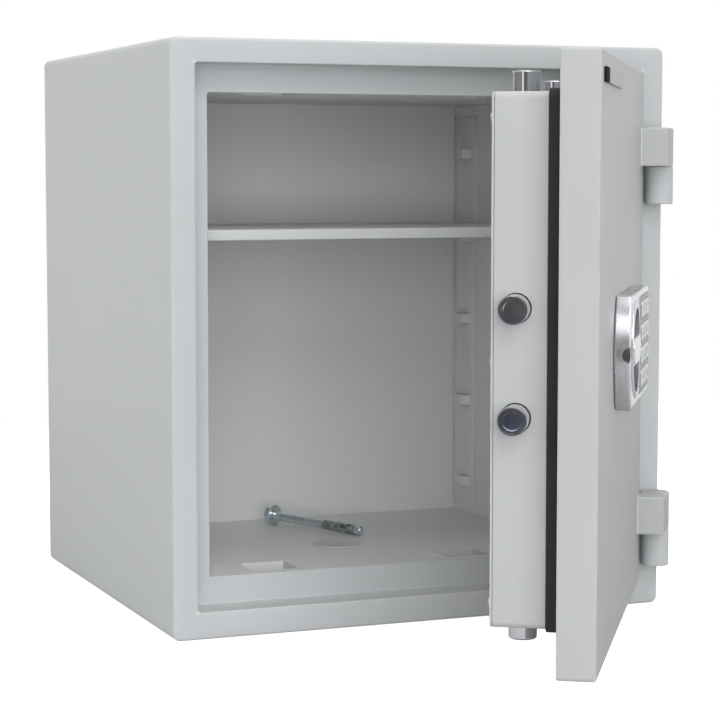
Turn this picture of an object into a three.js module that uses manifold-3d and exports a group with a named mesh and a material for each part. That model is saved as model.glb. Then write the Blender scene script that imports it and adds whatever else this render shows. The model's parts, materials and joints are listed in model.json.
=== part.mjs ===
// Fireproof safe: insulated steel body, inset door, locking bolts, keypad lock, shelf and floor anchor.
// Millimetres, +Z up. The origin is the centre of the underside, and the front faces -Y.
import * as THREE from 'three';
import { mergeVertices } from 'three/addons/utils/BufferGeometryUtils.js';
import Module from 'manifold-3d';

const wasm = await Module();
wasm.setup();

// Clearances
const SEAM = 0.3;
const SHELF_SIDE_CLEARANCE = 1;
const SHELF_END_CLEARANCE = 3;
const PRESS_CLEARANCE = 0.4;

// Body shell
const BODY_WIDTH = 596;
const BODY_DEPTH = 553;
const BODY_HEIGHT = 650;
const SHELL_SHEET = 2;
const SHELL_CORNER_RADIUS = 8;
const BACK_CORNER_BEND = 3;

// Front frame, seen from outside: a rim, a rebate for the door, and a land round the opening
const RIM_SIDE = 28;
const RIM_TOP = 26.5;
const RIM_BOTTOM = 30;
const REBATE_DEPTH = 42.6;
const REBATE_CORNER_RADIUS = 4;
const FRAME_SHEET = 2.5;
const LAND_FREE_SIDE = 27;
const LAND_HINGE_SIDE = 53;
const LAND_TOP = 30.1;
const LAND_BOTTOM = 30.5;

// Inner box
const INNER_SHEET = 1.5;
const INNER_CORNER_RADIUS = 3;
const BACK_WALL_THICKNESS = 149;

// Pockets in the inner box that take the bolts
const POCKET_END_WIDTH = 54;
const POCKET_SIDE_HEIGHT = 36;
const POCKET_DEPTH = 20;
const POCKET_FRONT_MARGIN = 24;
const POCKET_BACK_MARGIN = 26;

// Shelf and its rails
const RAIL_WIDTH = 66;
const RAIL_SHEET = 1.2;
const RAIL_END_MARGIN = 14;
const REAR_RAIL_TO_BACK = 1;
const FRONT_RAIL_TO_LAND = 70;
const TAB_COUNT = 5;
const TOP_TAB_FROM_CEILING = 56.7;
const BOTTOM_TAB_FROM_FLOOR = 48.2;
const TABS_BELOW_SHELF = 3;
const TAB_HEIGHT = 12;
const TAB_LENGTH = 40;
const TAB_RISE = 9;
const SHELF_LIP = 12;
const SHELF_SHEET = 1.5;

// Door
const DOOR_OPEN_ANGLE = 56.6;
const DOOR_THICKNESS = 38;
const DOOR_SHEET = 2.5;
const DOOR_EDGE_BEND = 3;
const DOOR_GAP_FREE_SIDE = 5;
const DOOR_GAP_HINGE_SIDE = 4.5;
const DOOR_GAP_TOP = 3.1;
const DOOR_GAP_BOTTOM = 3.3;
const DOOR_BACK_SHEET = 2.5;

// Bolt box on the back of the door, its seal and cover
const LINER_INSET_FREE_SIDE = 40;
const LINER_INSET_HINGE_SIDE = 66.5;
const LINER_INSET_TOP = 38.4;
const LINER_INSET_BOTTOM = 39.7;
const LINER_DEPTH = 65;
const LINER_SHEET = 2;
const LINER_CORNER_RADIUS = 7;
const SEAL_DEPTH = 14;
const SEAL_RISE = 2.8;
const COVER_SHEET = 2.5;

// Locking bolts
const BOLT_DIAMETER = 28;
const BOLT_CHAMFER = 1.4;
const BOLT_HOLE_DIAMETER = 30;
const BOLT_AXIS_BEHIND_DOOR = 44;
const BOLT_SPACING_SIDE = 104;
const BOLT_SPACING_TOP = 240;
const SIDE_BOLT_THROW = 28;
const TOP_BOLT_THROW = 22;
const SIDE_BOLT_INSIDE = 48;
const TOP_BOLT_INSIDE = 52;

// Bolt work: a drive disc with three pins, and a folded bar for each set of bolts
const KNOB_TURN = 80;
const BAR_SHEET = 4;
const BAR_FLANGE = 28;
const BAR_OVERHANG = 18;
const DISC_THICKNESS = 4;
const DISC_RIM = 9;
const DISC_BEHIND_DOOR_BACK = 5;
const LAYER_GAP = 2;
const PIN_DIAMETER = 8;
const PIN_SLOT_PLAY = 0.8;
const YOKE_LEG = 6;
const YOKE_DROP = 7;
const SPINDLE_DIAMETER = 12;
const SPINDLE_HOLE_DIAMETER = 15;

// Lock on the front of the door: a knob let into a chrome housing, and a keypad beside it
const LOCK_HEIGHT = 114;
const LOCK_WIDTH = 254;
const LOCK_END_BOW = 24;
const LOCK_THICKNESS = 16;
const LOCK_FRONT_EDGE = 2;
const LOCK_CORNER_RADIUS = 6;
const LOCK_NOTCH_RADIUS = 7.5;
const LOCK_NOTCH_DEPTH = 9;
const SPINDLE_FROM_FREE_EDGE = 225;
const SPINDLE_FROM_LOCK_END = 74;
const KNOB_DIAMETER = 98;
const KNOB_WELL_DEPTH = 10;
const KNOB_PROUD = 1.5;
const KNOB_CLEARANCE = 0.6;
const KNOB_RIM = 6;
const KNOB_EDGE = 1.5;
const GRIP_WIDTH = 27;
const GRIP_RISE = 1;
const GRIP_EDGE = 1;
const GRIP_RECESS_DEPTH = 8;
const KEYPAD_GAP_TO_KNOB = 5;
const KEYPAD_EDGE_MARGIN = 6;
const KEYPAD_DEPTH = 7;
const KEYPAD_PROUD = 0.8;
const KEYPAD_CORNER_RADIUS = 4;
const KEY_COLUMNS = 3;
const KEY_ROWS = 4;
const KEY_MARGIN_ACROSS = 8.7;
const KEY_MARGIN_DOWN = 6.5;
const KEY_GAP_ACROSS = 9;
const KEY_GAP_DOWN = 7;
const KEY_PROUD = 1;
const KEY_TRAVEL = 1.5;
const KEY_SLEEVE = 3;
const KEY_CLEARANCE = 0.4;
const KEY_CORNER_RADIUS = 3;
const KEY_EDGE = 0.8;
const LOCK_CASE_WIDTH = 74;
const LOCK_CASE_HEIGHT = 66;
const LOCK_CASE_DEPTH = 34;
const LOCK_CASE_FROM_SPINDLE = 60;

// Hinges
const HINGE_AXIS_FROM_SIDE = 14;
const HINGE_AXIS_BEFORE_FRONT = 17;
const HINGE_RADIUS = 16;
const HINGE_KNUCKLE = 43.4;
const HINGE_PIN_DIAMETER = 12;
const HINGE_PIN_HOLE_DIAMETER = 12.6;
const HINGE_PIN_CAP_WALL = 4;
const HINGE_JOINT_FROM_TOP = 136.3;
const HINGE_JOINT_FROM_BASE = 92.5;
const HINGE_STRAP = 34;
const HINGE_STRAP_THICKNESS = 30;
const WELD_PAD_WIDTH = 20;

// Floor anchor: a capped hole in the floor, and the sleeve anchor lying beside it
const ANCHOR_FROM_FREE_WALL = 208;
const ANCHOR_FROM_BACK_WALL = 214.5;
const ANCHOR_HOLE_DIAMETER = 30;
const CAP_DIAMETER = 60;
const CAP_THICKNESS = 1.5;
const CAP_PLUG_LENGTH = 9;
const CAP_EDGE = 1;
const BOLT_HEAD_FROM_FREE_WALL = 179;
const BOLT_HEAD_FROM_BACK_WALL = 50;
const BOLT_TURN = -57.4;
const ANCHOR_ROD_DIAMETER = 9;
const ANCHOR_ROD_END = 1;
const ANCHOR_HEAD_ACROSS_FLATS = 19;
const ANCHOR_HEAD_HEIGHT = 8;
const ANCHOR_WASHER_DIAMETER = 27;
const ANCHOR_WASHER_THICKNESS = 2.5;
const ANCHOR_SLEEVE_DIAMETER = 12;
const ANCHOR_SLEEVE_LENGTH = 77;
const CRUSH_RING_DIAMETER = 11.2;
const CRUSH_RING_LENGTH = 13.5;
const EXPANSION_SLEEVE_DIAMETER = 12.4;
const EXPANSION_SLEEVE_LENGTH = 34;
const EXPANSION_SLIT = 1.2;
const EXPANSION_SLIT_LENGTH = 28;
const ANCHOR_CONE_LENGTH = 8;
const ANCHOR_CONE_TAPER = 4;
const ANCHOR_CONE_SMALL_DIAMETER = 11.2;
const ANCHOR_STEPS = 20;

const ROUND_STEPS = 28;
const CORNER_STEPS = 3;
const FINE_STEPS = 44;
const KEY_STEPS = 2;

// Levels and places that follow from the sizes above
const front = -BODY_DEPTH / 2;
const back = BODY_DEPTH / 2;
const left = -BODY_WIDTH / 2;
const right = BODY_WIDTH / 2;

const rebate = {
  x0: left + RIM_SIDE,
  x1: right - RIM_SIDE,
  z0: RIM_BOTTOM,
  z1: BODY_HEIGHT - RIM_TOP,
};
const landY = front + REBATE_DEPTH;
const opening = {
  x0: rebate.x0 + LAND_FREE_SIDE,
  x1: rebate.x1 - LAND_HINGE_SIDE,
  z0: rebate.z0 + LAND_BOTTOM,
  z1: rebate.z1 - LAND_TOP,
};
const innerFront = landY + FRAME_SHEET + SEAM;
const innerBack = back - BACK_WALL_THICKNESS;
const anchorX = opening.x0 + ANCHOR_FROM_FREE_WALL;
const anchorY = innerBack - ANCHOR_FROM_BACK_WALL;

const door = {
  x0: rebate.x0 + DOOR_GAP_FREE_SIDE,
  x1: rebate.x1 - DOOR_GAP_HINGE_SIDE,
  z0: rebate.z0 + DOOR_GAP_BOTTOM,
  z1: rebate.z1 - DOOR_GAP_TOP,
};
const doorBack = front + DOOR_THICKNESS;
const liner = {
  x0: door.x0 + LINER_INSET_FREE_SIDE,
  x1: door.x1 - LINER_INSET_HINGE_SIDE,
  z0: door.z0 + LINER_INSET_BOTTOM,
  z1: door.z1 - LINER_INSET_TOP,
};
const linerFront = doorBack + SEAM;
const linerBack = linerFront + LINER_DEPTH;
const coverBack = linerBack + SEAM + COVER_SHEET;
const hingeX = right - HINGE_AXIS_FROM_SIDE;
const hingeY = front - HINGE_AXIS_BEFORE_FRONT;
const topHingeJoint = BODY_HEIGHT - HINGE_JOINT_FROM_TOP;

const spindleX = door.x0 + SPINDLE_FROM_FREE_EDGE;
const spindleZ = (door.z0 + door.z1) / 2;
const boltAxisY = doorBack + BOLT_AXIS_BEHIND_DOOR;
const boltRadius = BOLT_DIAMETER / 2;
const sideBoltZ = [-1, 1].map((side) => spindleZ + side * BOLT_SPACING_SIDE / 2);
const topBoltX = [-1, 1].map((side) => spindleX + side * BOLT_SPACING_TOP / 2);

// Turning geometry into solids and back
function toSolid(geometry) {
  const bare = geometry.index ? geometry.toNonIndexed() : geometry.clone();
  bare.deleteAttribute('normal');
  bare.deleteAttribute('uv');
  const merged = mergeVertices(bare, 1e-4);
  const mesh = new wasm.Mesh({
    numProp: 3,
    vertProperties: new Float32Array(merged.attributes.position.array),
    triVerts: new Uint32Array(merged.index.array),
  });
  mesh.merge();
  return new wasm.Manifold(mesh);
}

function toGeometry(solid) {
  const mesh = solid.getMesh();
  const geometry = new THREE.BufferGeometry();
  geometry.setAttribute('position', new THREE.BufferAttribute(mesh.vertProperties, 3));
  geometry.setIndex(new THREE.BufferAttribute(mesh.triVerts, 1));
  return geometry;
}

function join(...solids) {
  return solids.reduce((sum, solid) => sum.add(solid));
}

function cut(solid, ...tools) {
  return tools.reduce((rest, tool) => rest.subtract(tool), solid);
}

// Simple solids, given by their limits
function box(x0, x1, y0, y1, z0, z1) {
  const geometry = new THREE.BoxGeometry(Math.abs(x1 - x0), Math.abs(y1 - y0), Math.abs(z1 - z0));
  geometry.translate((x0 + x1) / 2, (y0 + y1) / 2, (z0 + z1) / 2);
  return toSolid(geometry);
}

function roundedRectangle(area, radius) {
  const { x0, x1, z0, z1 } = area;
  const shape = new THREE.Shape();
  shape.moveTo(x0 + radius, z0);
  shape.lineTo(x1 - radius, z0);
  shape.absarc(x1 - radius, z0 + radius, radius, -Math.PI / 2, 0, false);
  shape.lineTo(x1, z1 - radius);
  shape.absarc(x1 - radius, z1 - radius, radius, 0, Math.PI / 2, false);
  shape.lineTo(x0 + radius, z1);
  shape.absarc(x0 + radius, z1 - radius, radius, Math.PI / 2, Math.PI, false);
  shape.lineTo(x0, z0 + radius);
  shape.absarc(x0 + radius, z0 + radius, radius, Math.PI, Math.PI * 1.5, false);
  return shape;
}

function grow(area, amount) {
  return { x0: area.x0 - amount, x1: area.x1 + amount, z0: area.z0 - amount, z1: area.z1 + amount };
}

// Extrudes an outline drawn in X and Z from y0 back to y1
function alongY(shape, y0, y1, steps = CORNER_STEPS) {
  const settings = { depth: y1 - y0, bevelEnabled: false, curveSegments: steps };
  const geometry = new THREE.ExtrudeGeometry(shape, settings);
  geometry.rotateX(Math.PI / 2);
  geometry.translate(0, y1, 0);
  return toSolid(geometry);
}

// Extrudes an outline drawn in X and Y from z0 up to z1
function alongZ(shape, z0, z1, steps = CORNER_STEPS) {
  const settings = { depth: z1 - z0, bevelEnabled: false, curveSegments: steps };
  const geometry = new THREE.ExtrudeGeometry(shape, settings);
  geometry.translate(0, 0, z0);
  return toSolid(geometry);
}

// A plate with a bevelled front edge: the outline reaches its full size at y0 + edge
function alongYWithFrontEdge(shape, y0, y1, edge, steps = CORNER_STEPS, edgeSteps = 2) {
  const geometry = new THREE.ExtrudeGeometry(shape, {
    depth: y1 - y0,
    bevelEnabled: true,
    bevelThickness: edge,
    bevelSize: edge,
    bevelOffset: -edge,
    bevelSegments: edgeSteps,
    curveSegments: steps,
  });
  geometry.rotateX(Math.PI / 2);
  geometry.translate(0, y1 + edge, 0);
  const limit = BODY_HEIGHT + BODY_WIDTH;
  const behind = box(-limit, limit, y1, y1 + limit, -limit, limit);
  return cut(toSolid(geometry), behind);
}

function frameRing(outer, outerRadius, inner, innerRadius, y0, y1) {
  const shape = roundedRectangle(outer, outerRadius);
  shape.holes.push(roundedRectangle(inner, innerRadius));
  return alongY(shape, y0, y1);
}

// Turned solids: the profile lists [radius, distance along the axis], from the axis back to the axis
function turned(profile, steps = ROUND_STEPS) {
  const points = profile.map(([radius, along]) => new THREE.Vector2(radius, along));
  return new THREE.LatheGeometry(points, steps);
}

function roundAlongY(x, z, radius, y0, y1, steps = ROUND_STEPS) {
  const geometry = new THREE.CylinderGeometry(radius, radius, y1 - y0, steps);
  geometry.translate(x, (y0 + y1) / 2, z);
  return toSolid(geometry);
}

function roundAlongX(y, z, radius, x0, x1, steps = ROUND_STEPS) {
  const geometry = new THREE.CylinderGeometry(radius, radius, x1 - x0, steps);
  geometry.rotateZ(-Math.PI / 2);
  geometry.translate((x0 + x1) / 2, y, z);
  return toSolid(geometry);
}

function roundAlongZ(x, y, radius, z0, z1, steps = ROUND_STEPS) {
  const geometry = new THREE.CylinderGeometry(radius, radius, z1 - z0, steps);
  geometry.rotateX(Math.PI / 2);
  geometry.translate(x, y, (z0 + z1) / 2);
  return toSolid(geometry);
}

// Materials
function finish(color, roughness, metalness) {
  return new THREE.MeshStandardMaterial({ color, roughness, metalness });
}

const paint = finish(0xb9bcbd, 0.5, 0.1);
const doorPaint = finish(0xb6b9b6, 0.5, 0.1);
const concrete = finish(0x8f8d86, 0.9, 0);
const rubber = finish(0x1f1f21, 0.8, 0);
const chrome = finish(0xc8cacc, 0.15, 1);
const zinc = finish(0x9aa0a6, 0.4, 0.9);
const darkPlastic = finish(0x2a2b2d, 0.5, 0);
const keyMetal = finish(0xa9acb0, 0.3, 0.9);
const capPlastic = finish(0x8d9092, 0.6, 0);

const safe = new THREE.Group();
safe.name = 'fireproof_safe';

function addPiece(parent, name, solid, material) {
  const geometry = solid instanceof THREE.BufferGeometry ? solid : toGeometry(solid);
  const mesh = new THREE.Mesh(geometry, material);
  mesh.name = name;
  parent.add(mesh);
  return mesh;
}

// Outer shell: a folded wrap round four sides, and a back panel with a small bend all round
const outline = { x0: left, x1: right, z0: 0, z1: BODY_HEIGHT };
const wrapFront = front + FRAME_SHEET + SEAM;
const wrapBack = back - SHELL_SHEET - SEAM;

function makeOuterWrap() {
  const innerArea = grow(outline, -SHELL_SHEET);
  const innerRadius = SHELL_CORNER_RADIUS - SHELL_SHEET;
  return frameRing(outline, SHELL_CORNER_RADIUS, innerArea, innerRadius, wrapFront, wrapBack);
}

function makeBackPanel() {
  const shape = roundedRectangle(outline, SHELL_CORNER_RADIUS);
  const panel = alongYWithFrontEdge(shape, -back, -back + SHELL_SHEET, BACK_CORNER_BEND / 2);
  return panel.mirror([0, 1, 0]);
}

addPiece(safe, 'outer_wrap', makeOuterWrap(), paint);
addPiece(safe, 'back_panel', makeBackPanel(), paint);

// Front frame: rim, rebate wall and land, folded from one sheet
function makeFrontFrame() {
  const wallOuter = grow(rebate, FRAME_SHEET);
  const wallRadius = REBATE_CORNER_RADIUS + FRAME_SHEET;
  const landBack = landY + FRAME_SHEET;
  const rimBack = front + FRAME_SHEET;
  const rim = frameRing(outline, SHELL_CORNER_RADIUS, rebate, REBATE_CORNER_RADIUS, front, rimBack);
  const wall = frameRing(wallOuter, wallRadius, rebate, REBATE_CORNER_RADIUS, front, landBack);
  const land = frameRing(wallOuter, wallRadius, opening, INNER_CORNER_RADIUS, landY, landBack);
  return join(rim, wall, land);
}

addPiece(safe, 'front_frame', makeFrontFrame(), paint);

// Inner box: five welded sheets, with six pockets that take the bolts.
// A pocket list holds boxes that reach from the sheet's inner face, or from inside it, into the wall.
const pocketY0 = boltAxisY - POCKET_FRONT_MARGIN;
const pocketY1 = boltAxisY + POCKET_BACK_MARGIN;

function endPockets(level, outward, extra, reach) {
  const half = POCKET_END_WIDTH / 2 + extra;
  const deepest = level + outward * (POCKET_DEPTH + extra);
  return topBoltX.map((x) => (
    box(x - half, x + half, pocketY0 - extra, pocketY1 + extra, level - outward * reach, deepest)
  ));
}

function sidePockets(extra, reach) {
  const half = POCKET_SIDE_HEIGHT / 2 + extra;
  const deepest = opening.x0 - POCKET_DEPTH - extra;
  return sideBoltZ.map((z) => (
    box(deepest, opening.x0 + reach, pocketY0 - extra, pocketY1 + extra, z - half, z + half)
  ));
}

function makeEndSheet(level, outward) {
  const sheet = box(opening.x0 - INNER_SHEET, opening.x1 + INNER_SHEET, innerFront, innerBack,
    level, level + outward * INNER_SHEET);
  return cut(join(sheet, ...endPockets(level, outward, INNER_SHEET, 0)),
    ...endPockets(level, outward, 0, 1));
}

function makeSideSheet(wallX, outward) {
  return box(wallX, wallX + outward * INNER_SHEET, innerFront, innerBack,
    opening.z0 + SEAM, opening.z1 - SEAM);
}

function makeInnerFloor() {
  const anchorHole = roundAlongZ(anchorX, anchorY, ANCHOR_HOLE_DIAMETER / 2,
    opening.z0 - INNER_SHEET - 1, opening.z0 + 1);
  return cut(makeEndSheet(opening.z0, -1), anchorHole);
}

function makeFreeSideSheet() {
  const sheet = join(makeSideSheet(opening.x0, -1), ...sidePockets(INNER_SHEET, 0));
  return cut(sheet, ...sidePockets(0, 1));
}

function makeInnerBack() {
  const area = grow(opening, INNER_SHEET);
  return box(area.x0, area.x1, innerBack + SEAM, innerBack + SEAM + INNER_SHEET, area.z0, area.z1);
}

addPiece(safe, 'inner_floor', makeInnerFloor(), paint);
addPiece(safe, 'inner_ceiling', makeEndSheet(opening.z1, 1), paint);
addPiece(safe, 'inner_wall_free_side', makeFreeSideSheet(), paint);
addPiece(safe, 'inner_wall_hinge_side', makeSideSheet(opening.x1, 1), paint);
addPiece(safe, 'inner_back_wall', makeInnerBack(), paint);

// Fire-resistant filling between the shell and the inner box, poured as one block
function makeBodyFilling() {
  const blockArea = grow(outline, -SHELL_SHEET - SEAM);
  const blockRadius = SHELL_CORNER_RADIUS - SHELL_SHEET - SEAM;
  const block = alongY(roundedRectangle(blockArea, blockRadius), wrapFront, wrapBack - SEAM);
  const wallArea = grow(rebate, FRAME_SHEET + SEAM);
  const wallRadius = REBATE_CORNER_RADIUS + FRAME_SHEET;
  const rebateSpace = alongY(roundedRectangle(wallArea, wallRadius), front - 1, innerFront);
  const extra = INNER_SHEET + SEAM;
  const space = grow(opening, extra);
  const boxSpace = box(space.x0, space.x1, front - 1, innerBack + SEAM + extra, space.z0, space.z1);
  const plugSpace = roundAlongZ(anchorX, anchorY, ANCHOR_HOLE_DIAMETER / 2,
    SHELL_SHEET, opening.z0);
  return cut(block, rebateSpace, boxSpace, plugSpace, ...endPockets(opening.z0, -1, extra, 0),
    ...endPockets(opening.z1, 1, extra, 0), ...sidePockets(extra, 0));
}

addPiece(safe, 'body_filling', makeBodyFilling(), concrete);

// Shelf rails: upright strips on both side walls, with bridge tabs pushed out of the sheet
const lowestTab = opening.z0 + BOTTOM_TAB_FROM_FLOOR;
const highestTab = opening.z1 - TOP_TAB_FROM_CEILING;
const tabTops = Array.from({ length: TAB_COUNT }, (_, index) => (
  lowestTab + index * (highestTab - lowestTab) / (TAB_COUNT - 1)
));
const shelfUnderside = tabTops[TABS_BELOW_SHELF] + SEAM;
const shelfLevel = shelfUnderside + SHELF_LIP;

function makeRail(wallX, inward, y0) {
  const y1 = y0 + RAIL_WIDTH;
  const yMid = (y0 + y1) / 2;
  const face = wallX + inward * (SEAM + RAIL_SHEET);
  const x0 = Math.min(wallX + inward * SEAM, face);
  const x1 = Math.max(wallX + inward * SEAM, face);
  let strip = box(x0, x1, y0, y1, opening.z0 + RAIL_END_MARGIN, opening.z1 - RAIL_END_MARGIN);
  for (const top of tabTops) {
    const window = box(x0 - 1, x1 + 1, yMid - TAB_LENGTH / 2 + TAB_RISE, yMid + TAB_LENGTH / 2 - TAB_RISE,
      top - TAB_HEIGHT, top);
    const bridge = new THREE.Shape();
    bridge.moveTo(face - inward * RAIL_SHEET, yMid - TAB_LENGTH / 2);
    bridge.lineTo(face, yMid - TAB_LENGTH / 2);
    bridge.lineTo(face + inward * TAB_RISE, yMid - TAB_LENGTH / 2 + TAB_RISE);
    bridge.lineTo(face + inward * TAB_RISE, yMid + TAB_LENGTH / 2 - TAB_RISE);
    bridge.lineTo(face, yMid + TAB_LENGTH / 2);
    bridge.lineTo(face - inward * RAIL_SHEET, yMid + TAB_LENGTH / 2);
    bridge.lineTo(face + inward * (TAB_RISE - RAIL_SHEET), yMid + TAB_LENGTH / 2 - TAB_RISE);
    bridge.lineTo(face + inward * (TAB_RISE - RAIL_SHEET), yMid - TAB_LENGTH / 2 + TAB_RISE);
    bridge.closePath();
    strip = join(cut(strip, window), alongZ(bridge, top - TAB_HEIGHT, top));
  }
  return strip;
}

const frontRailY = innerFront + FRONT_RAIL_TO_LAND;
const rearRailY = innerBack - REAR_RAIL_TO_BACK - RAIL_WIDTH;
addPiece(safe, 'shelf_rail_left_front', makeRail(opening.x0, 1, frontRailY), paint);
addPiece(safe, 'shelf_rail_left_rear', makeRail(opening.x0, 1, rearRailY), paint);
addPiece(safe, 'shelf_rail_right_front', makeRail(opening.x1, -1, frontRailY), paint);
addPiece(safe, 'shelf_rail_right_rear', makeRail(opening.x1, -1, rearRailY), paint);

// Shelf: a tray turned upside down, lips down all round
function makeShelf() {
  const side = SEAM + RAIL_SHEET + SHELF_SIDE_CLEARANCE;
  const x0 = opening.x0 + side;
  const x1 = opening.x1 - side;
  const y0 = coverBack + SHELF_END_CLEARANCE;
  const y1 = innerBack - SHELF_END_CLEARANCE;
  const tray = box(x0, x1, y0, y1, shelfUnderside, shelfLevel);
  const hollow = box(x0 + SHELF_SHEET, x1 - SHELF_SHEET, y0 + SHELF_SHEET, y1 - SHELF_SHEET,
    shelfUnderside - 1, shelfLevel - SHELF_SHEET);
  return cut(tray, hollow);
}

addPiece(safe, 'shelf', makeShelf(), paint);

// Cap over the anchor hole in the floor
function makeAnchorCap() {
  const seat = opening.z0 + SEAM;
  const plugRadius = ANCHOR_HOLE_DIAMETER / 2 - PRESS_CLEARANCE;
  const profile = [
    [0, seat - CAP_PLUG_LENGTH],
    [plugRadius, seat - CAP_PLUG_LENGTH],
    [plugRadius, seat],
    [CAP_DIAMETER / 2, seat],
    [CAP_DIAMETER / 2, seat + CAP_THICKNESS - CAP_EDGE],
    [CAP_DIAMETER / 2 - CAP_EDGE, seat + CAP_THICKNESS],
    [0, seat + CAP_THICKNESS],
  ];
  const geometry = turned(profile);
  geometry.rotateX(Math.PI / 2);
  geometry.translate(anchorX, anchorY, 0);
  return toSolid(geometry);
}

addPiece(safe, 'anchor_hole_cap', makeAnchorCap(), capPlastic);

// Sleeve anchor lying on the floor: its bolt, and what is threaded on it, in order from the head
const washerStart = ANCHOR_HEAD_HEIGHT + SEAM;
const sleeveStart = washerStart + ANCHOR_WASHER_THICKNESS + SEAM;
const ringStart = sleeveStart + ANCHOR_SLEEVE_LENGTH + SEAM;
const expansionStart = ringStart + CRUSH_RING_LENGTH + SEAM;
const coneStart = expansionStart + EXPANSION_SLEEVE_LENGTH + SEAM;
const coneEnd = coneStart + ANCHOR_CONE_LENGTH;

function alongBolt(profile, steps = ANCHOR_STEPS) {
  const geometry = turned(profile, steps);
  geometry.rotateZ(-Math.PI / 2);
  return toSolid(geometry);
}

function rod(diameter, from, to, steps = ANCHOR_STEPS) {
  return alongBolt([[0, from], [diameter / 2, from], [diameter / 2, to], [0, to]], steps);
}

function bored(solid, from, to) {
  return cut(solid, rod(ANCHOR_ROD_DIAMETER + 2 * PRESS_CLEARANCE, from - 1, to + 1));
}

function tube(diameter, from, length) {
  return bored(rod(diameter, from, from + length), from, from + length);
}

function makeAnchorBolt() {
  const acrossCorners = 2 * ANCHOR_HEAD_ACROSS_FLATS / Math.sqrt(3);
  const head = rod(acrossCorners, 0, ANCHOR_HEAD_HEIGHT, 6);
  return join(head, rod(ANCHOR_ROD_DIAMETER, ANCHOR_HEAD_HEIGHT - 1, coneEnd + ANCHOR_ROD_END));
}

function makeExpansionSleeve() {
  const end = expansionStart + EXPANSION_SLEEVE_LENGTH;
  const slitStart = end - EXPANSION_SLIT_LENGTH;
  const reach = EXPANSION_SLEEVE_DIAMETER;
  const half = EXPANSION_SLIT / 2;
  return cut(tube(EXPANSION_SLEEVE_DIAMETER, expansionStart, EXPANSION_SLEEVE_LENGTH),
    box(slitStart, end + 1, -half, half, -reach, reach),
    box(slitStart, end + 1, -reach, reach, -half, half));
}

function makeAnchorCone() {
  const cone = alongBolt([
    [0, coneStart],
    [ANCHOR_CONE_SMALL_DIAMETER / 2, coneStart],
    [EXPANSION_SLEEVE_DIAMETER / 2, coneStart + ANCHOR_CONE_TAPER],
    [EXPANSION_SLEEVE_DIAMETER / 2, coneEnd],
    [0, coneEnd],
  ]);
  return bored(cone, coneStart, coneEnd);
}

// It lies on the washer's edge and the cone nut's end
const anchorGroup = new THREE.Group();
const washerRadius = ANCHOR_WASHER_DIAMETER / 2;
const washerBack = washerStart + ANCHOR_WASHER_THICKNESS;
const tiltRise = washerRadius - EXPANSION_SLEEVE_DIAMETER / 2;
const anchorTilt = Math.atan(tiltRise / (coneEnd - washerBack));
const anchorHeight = washerRadius + washerBack * Math.tan(anchorTilt);
anchorGroup.position.set(opening.x0 + BOLT_HEAD_FROM_FREE_WALL, innerBack - BOLT_HEAD_FROM_BACK_WALL,
  opening.z0 + SEAM + anchorHeight);
anchorGroup.rotation.set(0, anchorTilt, THREE.MathUtils.degToRad(BOLT_TURN), 'ZYX');
safe.add(anchorGroup);
addPiece(anchorGroup, 'anchor_bolt', makeAnchorBolt(), zinc);
addPiece(anchorGroup, 'anchor_washer',
  tube(ANCHOR_WASHER_DIAMETER, washerStart, ANCHOR_WASHER_THICKNESS), zinc);
addPiece(anchorGroup, 'anchor_sleeve',
  tube(ANCHOR_SLEEVE_DIAMETER, sleeveStart, ANCHOR_SLEEVE_LENGTH), zinc);
addPiece(anchorGroup, 'anchor_crush_ring',
  tube(CRUSH_RING_DIAMETER, ringStart, CRUSH_RING_LENGTH), darkPlastic);
addPiece(anchorGroup, 'anchor_expansion_sleeve', makeExpansionSleeve(), zinc);
addPiece(anchorGroup, 'anchor_cone_nut', makeAnchorCone(), zinc);

// Hinges: a barrel welded to the frame, a pin through it, and an arm welded to the door
function knuckleHole(z0, z1) {
  return roundAlongZ(hingeX, hingeY, HINGE_PIN_HOLE_DIAMETER / 2, z0, z1, 24);
}

function makeBarrel(joint) {
  const z0 = joint - HINGE_KNUCKLE;
  const z1 = joint - SEAM;
  const barrel = roundAlongZ(hingeX, hingeY, HINGE_RADIUS, z0, z1);
  const pad = box(hingeX - WELD_PAD_WIDTH / 2, hingeX + WELD_PAD_WIDTH / 2, hingeY, front - SEAM, z0, z1);
  return cut(join(barrel, pad), knuckleHole(z0 + HINGE_PIN_CAP_WALL, z1 + 1));
}

function makePin(joint) {
  const reach = HINGE_KNUCKLE - HINGE_PIN_CAP_WALL - 2 * SEAM;
  return roundAlongZ(hingeX, hingeY, HINGE_PIN_DIAMETER / 2, joint - reach, joint + reach, 24);
}

function makeHingeArm(joint) {
  const z0 = joint;
  const z1 = joint + HINGE_KNUCKLE;
  const strapX0 = door.x1 - HINGE_STRAP;
  const strapY0 = front - HINGE_STRAP_THICKNESS;
  const reach = Math.hypot(strapX0 - hingeX, strapY0 - hingeY);
  const toStrap = Math.atan2(strapY0 - hingeY, strapX0 - hingeX);
  const tangent = toStrap + Math.acos(HINGE_RADIUS / reach);
  const shape = new THREE.Shape();
  shape.moveTo(strapX0, front - SEAM);
  shape.lineTo(strapX0, strapY0);
  shape.absarc(hingeX, hingeY, HINGE_RADIUS, tangent, Math.PI / 2, false);
  shape.lineTo(door.x1, front - SEAM);
  shape.closePath();
  return cut(alongZ(shape, z0, z1, ROUND_STEPS / 2), knuckleHole(z0 - 1, z1 - HINGE_PIN_CAP_WALL));
}

addPiece(safe, 'hinge_barrel_top', makeBarrel(topHingeJoint), paint);
addPiece(safe, 'hinge_barrel_bottom', makeBarrel(HINGE_JOINT_FROM_BASE), paint);
addPiece(safe, 'hinge_pin_top', makePin(topHingeJoint), zinc);
addPiece(safe, 'hinge_pin_bottom', makePin(HINGE_JOINT_FROM_BASE), zinc);

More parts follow.
